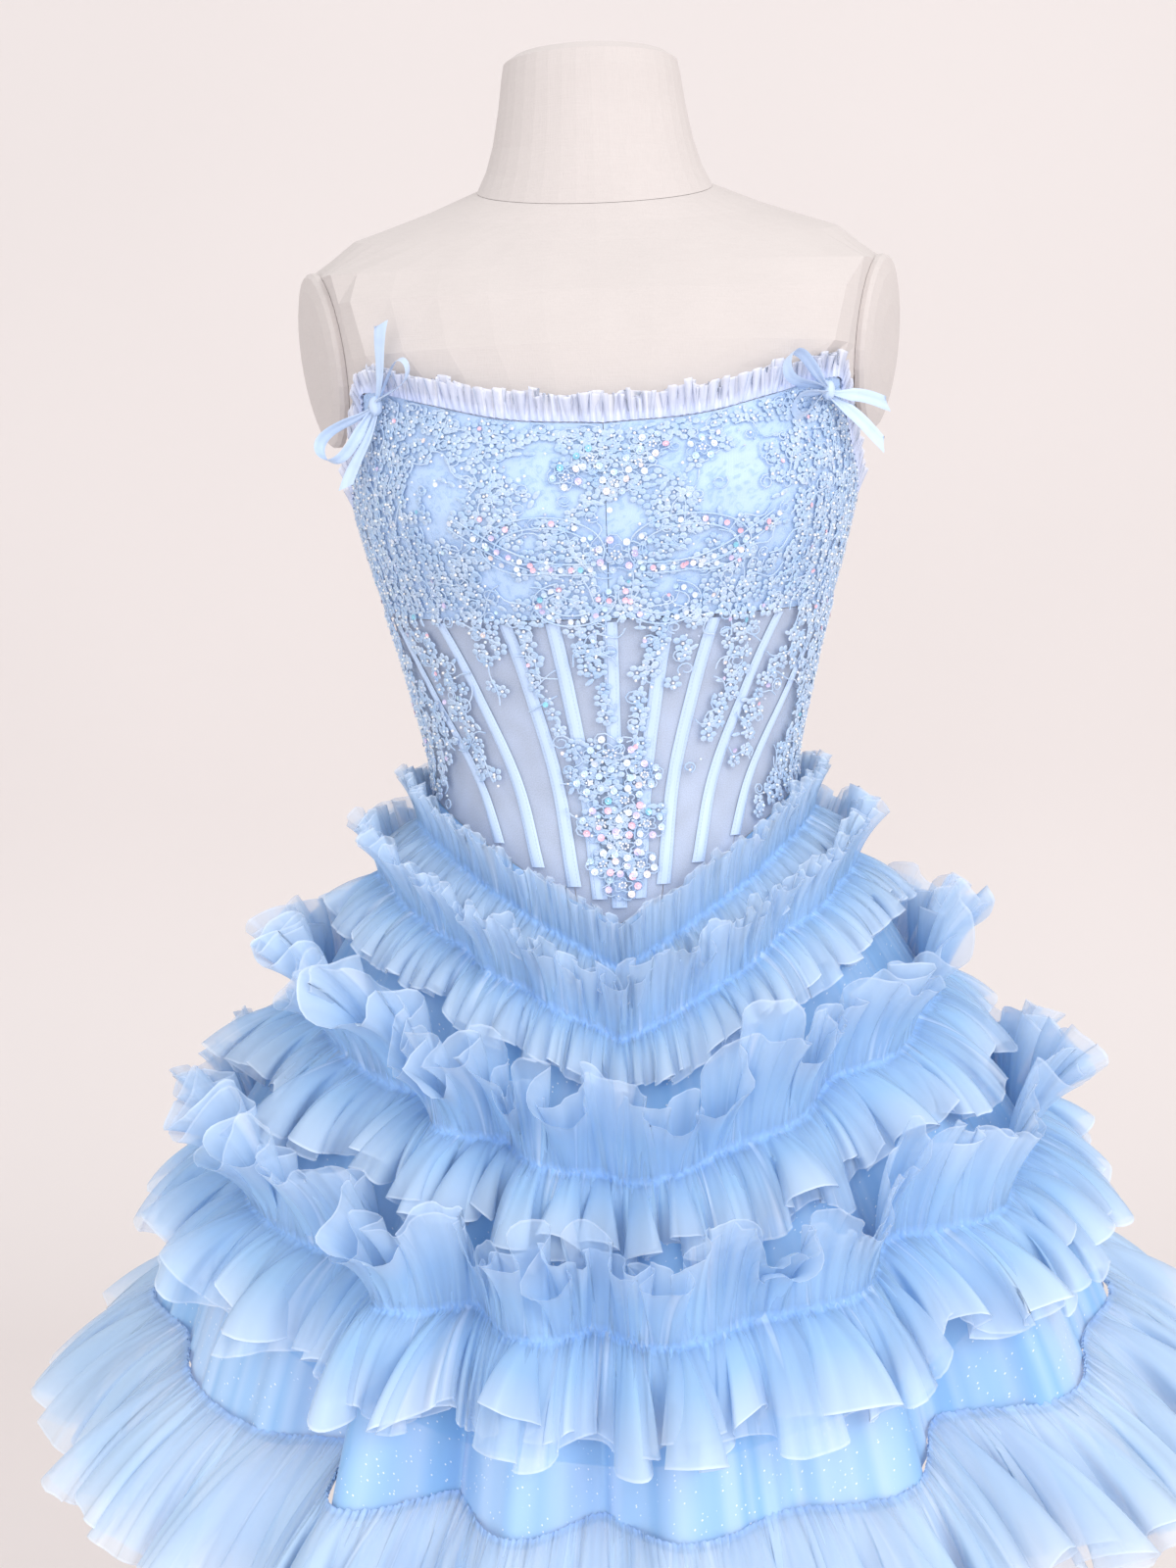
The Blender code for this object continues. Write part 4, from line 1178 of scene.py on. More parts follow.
def scrollwork(cords, shine, small, rng):
    """Sequined scrolls and a flower at the centre of the bust."""
    size = sizes()
    part = np.linspace(0.0, 1.0, SCROLL_STEPS)
    paths = []
    for hand in (-1, 1):
        turn = np.pi * (1.15 - 1.75 * part)
        reach = 0.030 * (1 - 0.45 * part)
        across = 0.036 + reach * np.cos(turn) * 0.95
        paths.append((hand * across, 0.008 + reach * np.sin(turn) * 0.62))
        turn = np.pi * (0.9 + 1.5 * part)
        reach = 0.021 * (1 - 0.5 * part)
        paths.append((hand * (0.024 + reach * np.cos(turn)), -0.022 + reach * np.sin(turn) * 0.72))
        bend = np.sin(part * np.pi)
        paths.append((hand * (0.012 + 0.058 * part), -0.004 + 0.030 * part - 0.010 * bend))
    centre = (2.0, UNDERBUST + 0.034)
    for x, z in paths:
        for off in (-0.0030, 0.0030):
            dx, dz = np.gradient(x), np.gradient(z)
            length = np.hypot(dx, dz)
            at, normal = on_bodice(
                x - off * dz / length, z + off * dx / length, centre[0], centre[1], CORD_OUT
            )
            shape = tubes(at[None], normal[None], size.cord * 0.6)
            cords.add(shape, tube_faces(SCROLL_STEPS, False), [PLAIN])
        steps = slice(None, None, 3)
        count = len(x[steps])
        sequins(
            shine, x[steps], z[steps], np.full(count, centre[0]), np.full(count, centre[1]),
            0.0013, size.sequin * 0.40, rng,
        )
    flower(cords, shine, small, centre[0], centre[1] + 0.004, 0.012, rng)
    for place in BUST_FLOWERS:
        flower(cords, shine, small, place.angle, place.height, 0.0080, rng)


def flower(cords, shine, small, angle, height, reach, rng):
    """A sequined flower: a corded outline, a beaded sequin on each petal and beads at its heart."""
    size = sizes()
    centre = np.array([[angle, height]])
    for share in (1.0, 0.5):
        line = flower_lines(1, FLOWER_STEPS, rng, reach * share, reach * share)
        at, normal = lay_out(centre, line, CORD_OUT)
        shape = tubes(at, normal, size.cord * 0.5, True)
        cords.add(shape, tube_faces(FLOWER_STEPS, True), [PLAIN])
    count = 5 if reach < 0.009 else 7
    turns = rng.uniform(0, 2) + 2 * np.pi * np.arange(count) / count
    x, z = np.cos(turns) * reach * 0.72, np.sin(turns) * reach * 0.72
    dot = min(size.sequin * 0.5, reach * 0.27)
    sequins(shine, x, z, np.full(count, angle), np.full(count, height), 0.0014, dot, rng)
    tops = on_bodice(x, z, angle, height, 0.0022)[0]
    beads(small, tops, size.bead * 0.36, [PETAL_BEAD_TONE] * count)
    heart = on_bodice(x * 0.24, z * 0.24, angle, height, 0.0016)[0]
    beads(small, heart, size.bead * 0.42, [HEART_TONE] * count)


Bloom = namedtuple("Bloom", "angle down reach")  # down is from the underbust seam
SPRAY_FLOWERS = (
    Bloom(-1.0, 0.082, 0.0135),
    Bloom(8.5, 0.096, 0.0095),
    Bloom(-7.5, 0.100, 0.0085),
    Bloom(2.5, 0.112, 0.0110),
    Bloom(-4.5, 0.126, 0.0120),
    Bloom(8.5, 0.127, 0.0100),
    Bloom(2.0, 0.140, 0.0095),
    Bloom(-4.0, 0.150, 0.0085),
    Bloom(6.0, 0.151, 0.0090),
    Bloom(1.0, 0.163, 0.0095),
)


def spray(cords, shine, small, rng):
    """Flowers down the centre front, over the sheer panel."""
    for bloom in SPRAY_FLOWERS:
        flower(cords, shine, small, bloom.angle, UNDERBUST - bloom.down, bloom.reach, rng)


LACE_TOP = -0.995  # the level at which the lace is trimmed, just under the neckline
GROUND_COVER, GROUND_ROWS, SIDE_ROWS, SPRAY_COLUMNS = 0.25, 31, 51, 25


class DRESS_OT_lace(bpy.types.Operator):
    """Lays the lace grounds and works their cords, beads and sequins"""

    bl_idname = "dress.lace"
    bl_label = "Lace"

    def execute(self, context):
        rng = np.random.default_rng(11)
        cords, worked, small, shine = embroider(rng)
        thread = cord_finish(colours().cord, colours().satin)
        for heap, name, finish in (
            (cords, "lace_cords", thread),
            (worked, "lace_petals", thread),
            (small, "lace_beads", tone_finish("seed_bead", 0.16, 0.0, 0.5)),
            (shine, "lace_sequins", tone_finish("sequin", 0.2, 0.3)),
        ):
            piece = heap.build(name)
            wear(piece, finish, "lace")
        ground = ground_finish(colours().cord, GROUND_COVER)
        levels = np.linspace(LACE_TOP, 0.0, GROUND_ROWS)
        for side, start, end in (("left", -4, 0), ("right", 0, 4)):
            name = "lace_ground_bust_" + side
            piece, grid = bodice_sheet(name, start, end, levels, ON_PANEL + 0.0006)
            add_share(piece, "fade", np.ones(grid.shape[:2]))
            wear(piece, ground, "lace", "lace_bust_" + side)
        for side, hand in (("left", -1), ("right", 1)):
            lines = np.linspace(4.02, 5.5, GROUND_ROWS)
            reach = smooth(SIDE_LACE, "line", "reach", lines)
            share = np.linspace(0.0, 1.0, SIDE_ROWS)[:, None]
            level = LACE_TOP + share * (reach[None] - LACE_TOP)
            grid = bodice(hand * lines[None], level, ON_BONES)
            grid = grid if hand > 0 else grid[:, ::-1]
            piece = cloth("lace_ground_side_" + side, grid)
            fade = np.clip((1.0 - share) * 5.0, 0.0, 1.0)
            add_share(piece, "fade", np.broadcast_to(fade, grid.shape[:2]))
            wear(piece, ground, "lace", "lace_side_" + side)
        level = np.linspace(SPRAY_TOP, SPRAY_LOW - 0.01, GROUND_ROWS)
        half = np.array([spray_half(part) for part in level])
        across = np.linspace(-1, 1, SPRAY_COLUMNS)[None]
        grid = bodice(half[:, None] * across, level[:, None], ON_BONES)
        piece = cloth("lace_ground_spray", grid)
        down = np.linspace(0.0, 1.0, GROUND_ROWS)[:, None]
        fade = np.minimum(down * 5.0, (1.0 - np.abs(across)) * 2.5)
        add_share(piece, "fade", np.clip(fade, 0.0, 1.0))
        wear(piece, ground, "lace", "lace_front_spray")
        return {"FINISHED"}


# Gathered tulle ---------------------------------------------------------------------------------


class Gathers:
    """Uneven folds along a length: each has its own width and depth."""

    def __init__(self, length, mean, rng, uneven):
        widths = rng.uniform(1 - uneven, 1 + uneven, int(length / mean) + 2)
        edges = np.concatenate([[0.0], np.cumsum(widths)])
        self.edges = edges / edges[-1] * length
        self.swell = rng.uniform(0.3, 1.5, len(edges))

    def at(self, along):
        """The fold's angle, in radians, and its depth beside the mean."""
        turn = 2 * np.pi * np.interp(along, self.edges, np.arange(len(self.edges)))
        return turn, np.interp(along, self.edges, self.swell)


def wander(along, length, waves, rng):
    """A smooth uneven wave of -1 to 1 along a length, by a few sines that close round it."""
    total = np.zeros_like(along)
    for count in waves:
        high, phase = rng.uniform(0.4, 1.0), rng.uniform(0, 6.3)
        total += high * np.sin(2 * np.pi * count * along / length + phase)
    return total / max(len(waves) * 0.75, 1.0)


def streaks(along, share, spacing, rng):
    """Streaks of 0 to 1 down the cloth, which change slowly from the first row to the last."""
    count = int(along[-1] / spacing) + 3
    ends = [np.interp(along / spacing, np.arange(count), rng.random(count)) for _ in range(2)]
    return mix(ends[0][None], ends[1][None], share)


def ring_columns(surface, down, out, step, low=-180.0, high=180.0):
    """Evenly spaced places along a line round the body: their angles, and how far along each is."""
    fine = np.linspace(low, high, 1441)
    at = lifted(surface, down, fine, out)[0]
    along = np.concatenate([[0.0], np.cumsum(np.linalg.norm(np.diff(at, axis=0), axis=1))])
    count = int(along[-1] / step)
    places = np.linspace(0.0, along[-1], count + 1)
    return np.interp(places, along, fine), places


def flops_at(tier, angles):
    """How much taller a tier's upper frill is, and how much further it leans."""
    taller, lean = np.zeros_like(angles), np.zeros_like(angles)
    for flop in FLOPS:
        if flop.tier == tier.name:
            share = np.exp(-(((angles - flop.angle) / flop.width) ** 2))
            taller += flop.taller * share
            lean += flop.lean * share
    return taller, lean


# How far a frill's lean wanders, in degrees, and what its under layer has less of. The lower shade
# value paints the under layer darker, as shade under the outer one.
DROOP, LESS_REACH, LESS_LEAN, LESS_SHADE = 21.0, 0.06, 4.0, 0.38


def frill_layer(tier, seat, outward, angles, along, header, layer, rng):
    """One layer of a tier's upper frill, or of its lower one, from the stitching to the edge, as
    rows x columns of points."""
    length = along[-1]
    rise = 1.0 if header else -1.0
    full = tier.header if header else tier.frill
    near, edge = (tier.lean_near, tier.lean_edge) if header else (tier.fall_near, tier.fall_edge)
    taller, more = flops_at(tier, angles) if header else (0.0, 0.0)
    uneven = wander(along, length, (9, 14, 23, 37), rng)
    reach = full * (1.0 + tier.rise * uneven + taller - LESS_REACH * layer)
    droop = DROOP * wander(along, length, (7, 12, 19, 31), rng) + more
    rows = 10 if full < 0.04 else 13
    share = np.linspace(0.0, 1.0, rows)[:, None] ** 1.1
    lean = np.radians(mix(near, edge, share) + droop[None] * share * 0.8 - LESS_LEAN * layer)
    step = np.diff(share, axis=0, prepend=0.0) * reach[None]
    forward = np.cumsum(np.sin(lean) * step, axis=0)
    upward = np.cumsum(np.cos(lean) * step, axis=0) * rise
    away = np.cos(lean)
    over = -np.sin(lean) * rise
    wide = Gathers(length, tier.flute * (1.3 if header else 1.0), rng, 0.6)
    small = Gathers(length, tier.flute * 0.42, rng, 0.6)
    pleats = Gathers(length, sizes().pleat, rng, 0.3)
    turn, swell = wide.at(along)
    turn_small, swell_small = small.at(along)
    turn_pleat, swell_pleat = pleats.at(along)
    open_out = share**1.15
    depth = tier.depth * (1.0 if header else 1.15) * open_out
    wave = depth * swell * np.cos(turn)
    middle = tier.depth * 0.32 * (open_out * (1.0 - 0.55 * share)) + 0.0006
    wave = wave + middle * swell_small * np.cos(turn_small)
    fine = 0.0011 * np.exp(-share * reach[None] / 0.016) + 0.00022
    wave = wave + fine * swell_pleat * np.cos(turn_pleat)
    sway = depth * 0.55 * swell * np.sin(2 * turn) + middle * 0.5 * np.sin(2 * turn_small)
    tangent = unit(np.gradient(seat, axis=0))
    offset = outward[None] * (forward + away * wave)[..., None]
    lift = np.zeros_like(offset)
    lift[..., 2] = upward + over * wave
    base = 0.0012 + 0.0011 * (1 - layer)
    grid = seat[None] + offset + lift + tangent[None] * sway[..., None] + outward[None] * base
    # Shade value: random streaks, with painted shade and highlight across the pleats and flutes
    hollow = 0.5 - 0.5 * np.cos(turn_pleat) * np.exp(-share * reach[None] / 0.03)
    folds = 0.5 - 0.25 * (np.cos(turn) + np.cos(turn_small)) * share
    fine_streak = streaks(along, share, 0.0022, rng)
    broad_streak = streaks(along, share, 0.011, rng)
    shade = 0.40 * fine_streak + 0.25 * broad_streak + 0.20 * hollow + 0.15 * folds
    return grid, np.broadcast_to(shade - LESS_SHADE * layer, grid.shape[:2])


class Layers:
    """Gathered sheets that become one mesh, with their map and their shade value: how closely they
    are streaked, with painted shade and highlight across their folds.
    """

    def __init__(self):
        self.columns, self.count = [], 0

    def add(self, grid, along, place, shade):
        """Along has a number for each column, place for each row and shade for each point."""
        rows, cols = grid.shape[:2]
        faces = grid_faces(rows, cols) + self.count
        values = (*np.broadcast_arrays(along[None], place[:, None]), shade)
        self.columns.append((grid.reshape(-1, 3), faces, *[value.ravel() for value in values]))
        self.count += rows * cols

    def build(self, name):
        places, faces, across, down, shade = map(np.concatenate, zip(*self.columns))
        piece = mesh_object(name, places, faces)
        add_uv(piece, across, down)
        add_share(piece, "shade", shade)
        return piece


def ruffle(tier):
    """A tier: two layers of gathered tulle on one line of stitches."""
    angles, along = ring_columns(overlay, tier.below, ON_SKIRT, sizes().column)
    seat = lifted(overlay, tier.below, angles, ON_SKIRT)[0]
    turn = np.radians(angles)
    outward = points(np.sin(turn), -np.cos(turn), 0.0)
    layers = Layers()
    for layer in (0, 1):
        rng = np.random.default_rng(100 + TIERS.index(tier) * 10 + layer)
        grid, shade = frill_layer(tier, seat, outward, angles, along, False, layer, rng)
        high = 0
        if tier.header:
            above, light = frill_layer(tier, seat, outward, angles, along, True, layer, rng)
            grid = np.concatenate([above[:0:-1], grid])
            shade = np.concatenate([light[:0:-1], shade])
            high = len(above) - 1
        if tier.below <= ZIP_BELOW:
            grid[:, 0, 0] = np.minimum(grid[:, 0, 0], -ZIP_OPENING)
            grid[:, -1, 0] = np.maximum(grid[:, -1, 0], ZIP_OPENING)
        # The map runs from -1 at the header's edge, through 0 at the stitches, to 1 at the frill's
        place = [np.linspace(-1, 0, high + 1)[:-1], np.linspace(0, 1, len(grid) - high)]
        layers.add(grid, along, np.concatenate(place), shade)
    return layers.build("tulle_" + tier.name)


# The second colour is the deep blue of the painted shade near a frill's stitches
TULLE_SHEEN, TULLE_SHADE_BLUE = (0.55, 0.76, 1.0, 1.0), (0.05, 0.25, 0.80)
LEAST_COVER, MOST_COVER = 0.14, 0.97


def frill_finish(name, colour, highlight_colour, cover, header, frill):
    """Gathered tulle: its ridges are denser and painted pale as a highlight over a clearer body; it
    is closer at the stitches, where painted shade darkens it; each cut edge has a painted
    highlight, and the cloth is painted paler towards it as light through the thin edge. The map
    runs along the stitches in metres, and down from -1 to 1."""
    sheen = {"sheen_weight": 0.4, "sheen_roughness": 0.5, "sheen_tint": TULLE_SHEEN}
    finish = Finish(name, roughness=0.6, **sheen)
    _, down, _ = finish.parts(finish.cut_map())
    shade = finish.share("shade")
    # Where the shade value is high: denser cloth, painted pale as a highlight
    ridge = shade.above(0.60, 0.72)
    far = down.size()
    height = down.above(-0.0001, 0.0001) * (frill - header) + header if header else frill
    to_edge = (1 - far) * height
    # A painted highlight along each cut edge, and painted light through the thin cloth towards it
    rim = 1 - to_edge.above(0.0004, 0.0014)
    halo = 1 - to_edge.above(0.0, 0.030)
    # Closer at the stitches, and painted darker there as shade in the gathers
    seam = 1 - (far * height).above(0.0010, 0.006)
    body = finish.blend(shade.above(0.25, 0.7), tint(colour, 0.90), toward(colour, WHITE, 0.10))
    gather_shade = 1 - (far * height).above(0.0, 0.020)
    body = finish.blend(seam * 0.45 + gather_shade * 0.3, body, toward(colour, TULLE_SHADE_BLUE, 0.42))
    # Pale: the share of painted highlight at the edges and ridges
    pale = (rim * 0.30 + halo * 0.60 + ridge * (0.6 - gather_shade * 0.30)).at_most(1.0)
    finish.give("Base Color", finish.blend(pale, body, highlight_colour))
    alpha = cover + (0.5 - shade) * 0.65 + ridge * 0.28 + rim * 0.12 + seam * 0.35 - halo * 0.16
    finish.give("Alpha", alpha.at_least(LEAST_COVER).at_most(MOST_COVER))
    return finish.material


class DRESS_OT_tiers(bpy.types.Operator):
    """Gathers the tulle tiers and stitches them to the skirt"""

    bl_idname = "dress.tiers"
    bl_label = "Tiers"

    def execute(self, context):
        look = colours()
        for tier in TIERS:
            piece = ruffle(tier)
            colour = look.tulle if tier.header else toward(look.tulle, WHITE, 0.22)
            # edge: the colour of the painted highlight on the tulle's edges and ridges
            edge, cover = tint(look.tulle_edge), sizes().cover
            finish = frill_finish(
                "tulle_" + tier.name, colour, edge, cover, tier.header, tier.frill
            )
            wear(piece, finish, "tulle", tier.name)
        return {"FINISHED"}


class DRESS_OT_frill(bpy.types.Operator):
    """Gathers the frill along the neckline"""

    bl_idname = "dress.frill"
    bl_label = "Neckline Frill"

    def execute(self, context):
        def top_edge(lower, angle):
            return figure(neckline(angle) + FRILL_GAP - lower, angle)

        angles, along = ring_columns(top_edge, 0.0, 0.0, 0.0009, -179.0, 179.0)
        line = neckline(angles) + FRILL_GAP * 0.2
        seat, outward = lifted(figure, line, angles, OFF_FORM + 0.0006)
        layers = Layers()
        for layer in (0, 1):
            rng = np.random.default_rng(40 + layer)
            length = along[-1]
            uneven = wander(along, length, (19, 33, 51, 70), rng)
            reach = FRILL_HEIGHT * (1.12 + 0.24 * uneven - 0.1 * layer)
            share = np.linspace(0.0, 1.0, 8)[:, None]
            pleat, swell = Gathers(length, 0.0044, rng, 0.5).at(along)
            flute, depth = Gathers(length, 0.0115, rng, 0.5).at(along)
            wave = (0.0009 + 0.0012 * share) * swell * np.cos(pleat)
            wave = wave + 0.0028 * share**1.2 * depth * np.cos(flute)
            sway = 0.0014 * share * np.sin(2 * pleat) + 0.0020 * share * np.sin(2 * flute)
            lean = 0.0030 * share + 0.0016 * (1 - layer)
            tangent = unit(np.gradient(seat, axis=0))
            grid = seat[None] + outward[None] * (lean + np.maximum(wave, -0.0012))[..., None]
            grid = grid + tangent[None] * sway[..., None]
            grid[..., 2] += share * reach[None]
            grid = grid[::-1]
            streak = streaks(along, share, 0.0016, rng)
            # Streaks, with painted shade and highlight across the pleats
            shade = 0.6 * streak + 0.4 * (0.5 - 0.5 * np.cos(pleat))[None]
            layers.add(grid, along, share[:, 0] - 1.0, shade)
        piece = layers.build("tulle_neckline")
        colour, cover = toward(colours().tulle, (0.85, 0.80, 1.0), 0.6), sizes().cover * 1.4
        # edge: the colour of the painted highlight on the frill's edges and ridges
        edge = (0.88, 0.90, 1.0, 1.0)
        finish = frill_finish("tulle_neckline", colour, edge, cover, FRILL_HEIGHT, FRILL_HEIGHT)
        wear(piece, finish, "tulle", "neckline_frill")
        return {"FINISHED"}


# Skirt ------------------------------------------------------------------------------------------


def glitter_finish(colour, spacing):
    """Tulle strewn with specks of glitter, its folds streaked lengthways."""
    finish = Finish("glitter_tulle", sheen_weight=0.2, sheen_roughness=0.45)
    shade = finish.share("shade")
    near = finish.node("TexVoronoi", {}, {"Vector": finish.cut_map(), "Scale": 1.0 / spacing})
    chance = finish.parts(near.beside("Color"))[0]
    glint = (1 - near.above(0.10, 0.20)) * chance.above(0.60, 0.64)
    body = finish.blend(shade.above(0.2, 0.8), tint(colour, 0.84), toward(colour, WHITE, 0.20))
    finish.give("Base Color", finish.blend(glint * 0.85, body, WHITE))
    finish.give("Roughness", 0.55 - glint * 0.4)
    finish.give("Alpha", ((1 - shade) * 0.20 + 0.80 + glint * 0.5).at_most(0.98))
    return finish.material


def lining_finish(colour):
    """Soft satin lining with long shallow drapes, and painted shade and highlight across them."""
    finish = Finish("skirt_lining", sheen_weight=0.2, sheen_roughness=0.4)
    at = finish.cut_map()
    drape = finish.noise(finish.stretch(at, (16.0, 2.4, 1.0)), 1.0, 2.0)
    threads = finish.noise(finish.stretch(at, (1400.0, 200.0, 1.0)), 1.0, 1.0)
    # Painted shade in the drapes' hollows and painted highlight on their crests
    finish.give("Base Color", finish.mottle(drape.above(0.3, 0.7), colour, 0.9, 1.1))
    finish.give("Roughness", 0.46 + threads * 0.14)
    finish.bump(drape * 4.0 + threads * 0.05, 0.5, 0.002)
    return finish.material


LINING_CELLS, OVERLAY_CELLS = (288, 40), (900, 60)  # round and down


def skirt_sheet(name, surface, length, out, cells, wave):
    """A sheet of the skirt, open at the centre back as far down as the zip and closed below."""
    angles = np.linspace(-180.0, 180.0, cells[0] + 1)
    below = np.linspace(SEAM, length, cells[1])[:, None]
    grid = lifted(surface, below, angles, out + wave(below, angles[None]))[0]
    opening = (below[:, 0] < ZIP_BELOW)[:, None]
    grid[:, :1, 0] = np.where(opening, -ZIP_OPENING, grid[:, :1, 0])
    grid[:, -1:, 0] = np.where(opening, ZIP_OPENING, grid[:, -1:, 0])
    return cloth(name, grid), grid


class DRESS_OT_lining(bpy.types.Operator):
    """Hangs the skirt's lining"""

    bl_idname = "dress.lining"
    bl_label = "Skirt Lining"

    def execute(self, context):
        def drape(below, angle):
            deep = np.clip(below / LINING_LENGTH, 0.0, 1.0) ** 1.5
            bend = 0.8 * np.sin(np.radians(angle * 5))
            return 0.004 * deep * (1 + np.sin(np.radians(angle * 13.0) + bend))

        out = OFF_FORM + 0.0005
        piece, grid = skirt_sheet("blue_lining", lining, LINING_LENGTH, out, LINING_CELLS, drape)
        wear(piece, lining_finish(colours().lining), "lining", "skirt_lining")
        return {"FINISHED"}


Crease = namedtuple("Crease", "count share")  # how many go round, and how deep they are
CREASES = (Crease(47, 1.0), Crease(71, 0.7), Crease(29, 1.2), Crease(103, 0.4))


class DRESS_OT_overlay(bpy.types.Operator):
    """Hangs the glitter tulle over the lining, in its pipes and valleys"""

    bl_idname = "dress.overlay"
    bl_label = "Glitter Overlay"

    def execute(self, context):
        rng = np.random.default_rng(5)
        phases = rng.uniform(0, 6.3, len(CREASES))

        def creases(below, angle):
            deep = np.clip((below - 0.05) / 0.25, 0.0, 1.0)
            turn = np.radians(angle)
            wave = sum(
                share * np.sin(count * turn + phase + 2.0 * np.sin(3 * turn + phase))
                for (count, share), phase in zip(CREASES, phases)
            )
            return 0.0011 * deep * wave + 0.0005

        piece, grid = skirt_sheet(
            "glitter_overlay", overlay, OVERLAY_LENGTH, ON_LINING, OVERLAY_CELLS, creases
        )
        rows, cols = grid.shape[:2]
        along, share = np.linspace(0.0, 1.6, cols), np.linspace(0.0, 1.0, rows)[:, None]
        shade = 0.55 * streaks(along, share, 0.0036, rng) + 0.45 * streaks(along, share, 0.016, rng)
        add_share(piece, "shade", shade)
        finish = glitter_finish(colours().glitter, sizes().glitter)
        wear(piece, finish, "glitter_tulle", "skirt_overlay")
        return {"FINISHED"}


# Bows and zip -----------------------------------------------------------------------------------


def bow_frame(side):
    """The middle of a bow's knot, and the directions out, across and up there."""
    hand = 1 if side == "right" else -1
    angle = BOW_ANGLE * hand
    out = ON_PANEL + CLOTH + 3.5 * LAYER + KNOT.x / 2
    middle = Vector(lifted(figure, neckline(angle) - BOW_BELOW_EDGE, angle, out)[0])
    facing = math.radians(BOW_FACING)
    away = Vector((hand * math.sin(facing), -math.cos(facing), 0.0))
    up = Vector((0.0, 0.0, 1.0))
    return middle, away, up.cross(away), up


def ribbon(strand, middle, out, across, up):
    """Rows of points across a ribbon strand, from the knot outwards and, in a loop, back again."""
    turn = math.radians(strand.turn)
    along = across * math.sin(turn) + up * math.cos(turn)
    beside = along.cross(out).normalized()
    layer = 0.0 if strand.opening else strand.layer
    start = 1 / math.hypot(math.sin(turn) / (KNOT.x / 2), math.cos(turn) / (KNOT.z / 2))
    start = start * math.sqrt(1 - (layer / (KNOT.y / 2)) ** 2) - CLOTH
    steps = 36 if strand.opening else 20
    rows = []
    for i in range(steps + 1):
        part = i / steps
        share = max(math.sin(math.pi * part), 0.0) ** 0.8 if strand.opening else part
        reach = mix(start, strand.length, share)
        centre = middle + along * reach + out * (strand.layer + strand.lift * share)
        flat = beside
        if strand.opening:
            centre += beside * strand.opening * math.sin(2 * math.pi * part)
            centre += out * CLOTH * 1.3 * (1 - 2 * part)
            flat = (out * 0.8 + beside * 0.4).normalized()
        else:
            centre += beside * 0.0012 * math.sin(part * 5.0 + turn)
            flat = (beside + out * 0.25 * math.sin(part * 4.0 + turn)).normalized()
        width = RIBBON_WIDTH * mix(RIBBON_PINCH, 1.0, min(share / PINCH_LENGTH, 1.0))
        fold = along.cross(flat).normalized() * 0.0009 * (1 - min(share / 0.6, 1.0) * 0.7)
        end = along * 0.0035 if part == 1 and not strand.opening else Vector()
        row = []
        for j in range(7):
            place = j / 3 - 1
            point = centre + flat * width / 2 * place
            row.append(point + fold * math.cos(place * 4.5) + end * place)
        rows.append(row)
    return np.array(rows)


def knot_shape(middle, out, across, up):
    """The wrapped knot: a rounded pad with two creases where the ribbon goes round it."""
    rows, cols = 25, 32
    tall = np.linspace(-np.pi / 2, np.pi / 2, rows)[:, None]
    turn = np.linspace(0, 2 * np.pi, cols, endpoint=False)[None]
    crease = 1.0 - 0.09 * np.cos(turn * 5.0 + 1.0) ** 8
    x = np.cos(tall) ** 0.7 * np.cos(turn) * crease * KNOT.x / 2
    y = np.cos(tall) ** 0.7 * np.sin(turn) * crease * KNOT.y / 2
    z = np.sin(tall) * (1.0 - 0.06 * np.cos(turn * 3.0)) * KNOT.z / 2
    axes = [np.array(axis) for axis in (across, out, up)]
    grid = sum(part[..., None] * axis for part, axis in zip((x, y, z + 0 * x), axes))
    return grid + np.array(middle)


class DRESS_OT_bows(bpy.types.Operator):
    """Ties the satin bows at the corners of the neckline"""

    bl_idname = "dress.bows"
    bl_label = "Bows"

    def execute(self, context):
        finish = satin_finish("bow_satin", toward(colours().satin, WHITE, 0.10), 0.26)
        for side, strands in BOWS.items():
            middle, out, across, up = bow_frame(side)
            for strand in strands:
                grid = ribbon(strand, middle, out, across, up)
                piece = cloth(f"ribbon_{side}_{strand.name}", grid)
                wear(piece, finish, "satin", f"bow_{side}_{strand.name}")
            grid = knot_shape(middle, out, across, up)
            rows, cols = grid.shape[:2]
            faces = grid_faces(rows, cols, closed=True)[:, ::-1]
            piece = mesh_object(f"tied_knot_{side}", grid, faces)
            down, across = np.mgrid[:rows, :cols]
            add_uv(piece, across * 0.001, down * 0.0005)
            wear(piece, finish, "satin", f"bow_{side}_knot")
        return {"FINISHED"}


def zip_finish(colour):
    """A closed coil zip: two rows of teeth that mesh down the middle, between their tapes."""
    finish = Finish("zip_coil", roughness=0.4)
    x, _, z = finish.parts(finish.space())
    tooth = (z * (2 * math.pi / 0.0016)).sine()
    side = x.above(-0.0001, 0.0001) * 2 - 1
    mesh = (tooth * side).above(-0.3, 0.3)
    finish.give("Base Color", finish.mottle(mesh, colour, 0.7, 1.1))
    finish.bump(mesh, 0.8, 0.0006)
    return finish.material


class DRESS_OT_zip(bpy.types.Operator):
    """Finishes the zip's teeth, slider and pull"""

    bl_idname = "dress.zip"
    bl_label = "Zip"

    def execute(self, context):
        repaint(zip_finish(colours().satin), "zip_chain")
        repaint(steel_finish(), "zip_slider", "zip_pull")
        return {"FINISHED"}


# Stage ------------------------------------------------------------------------------------------


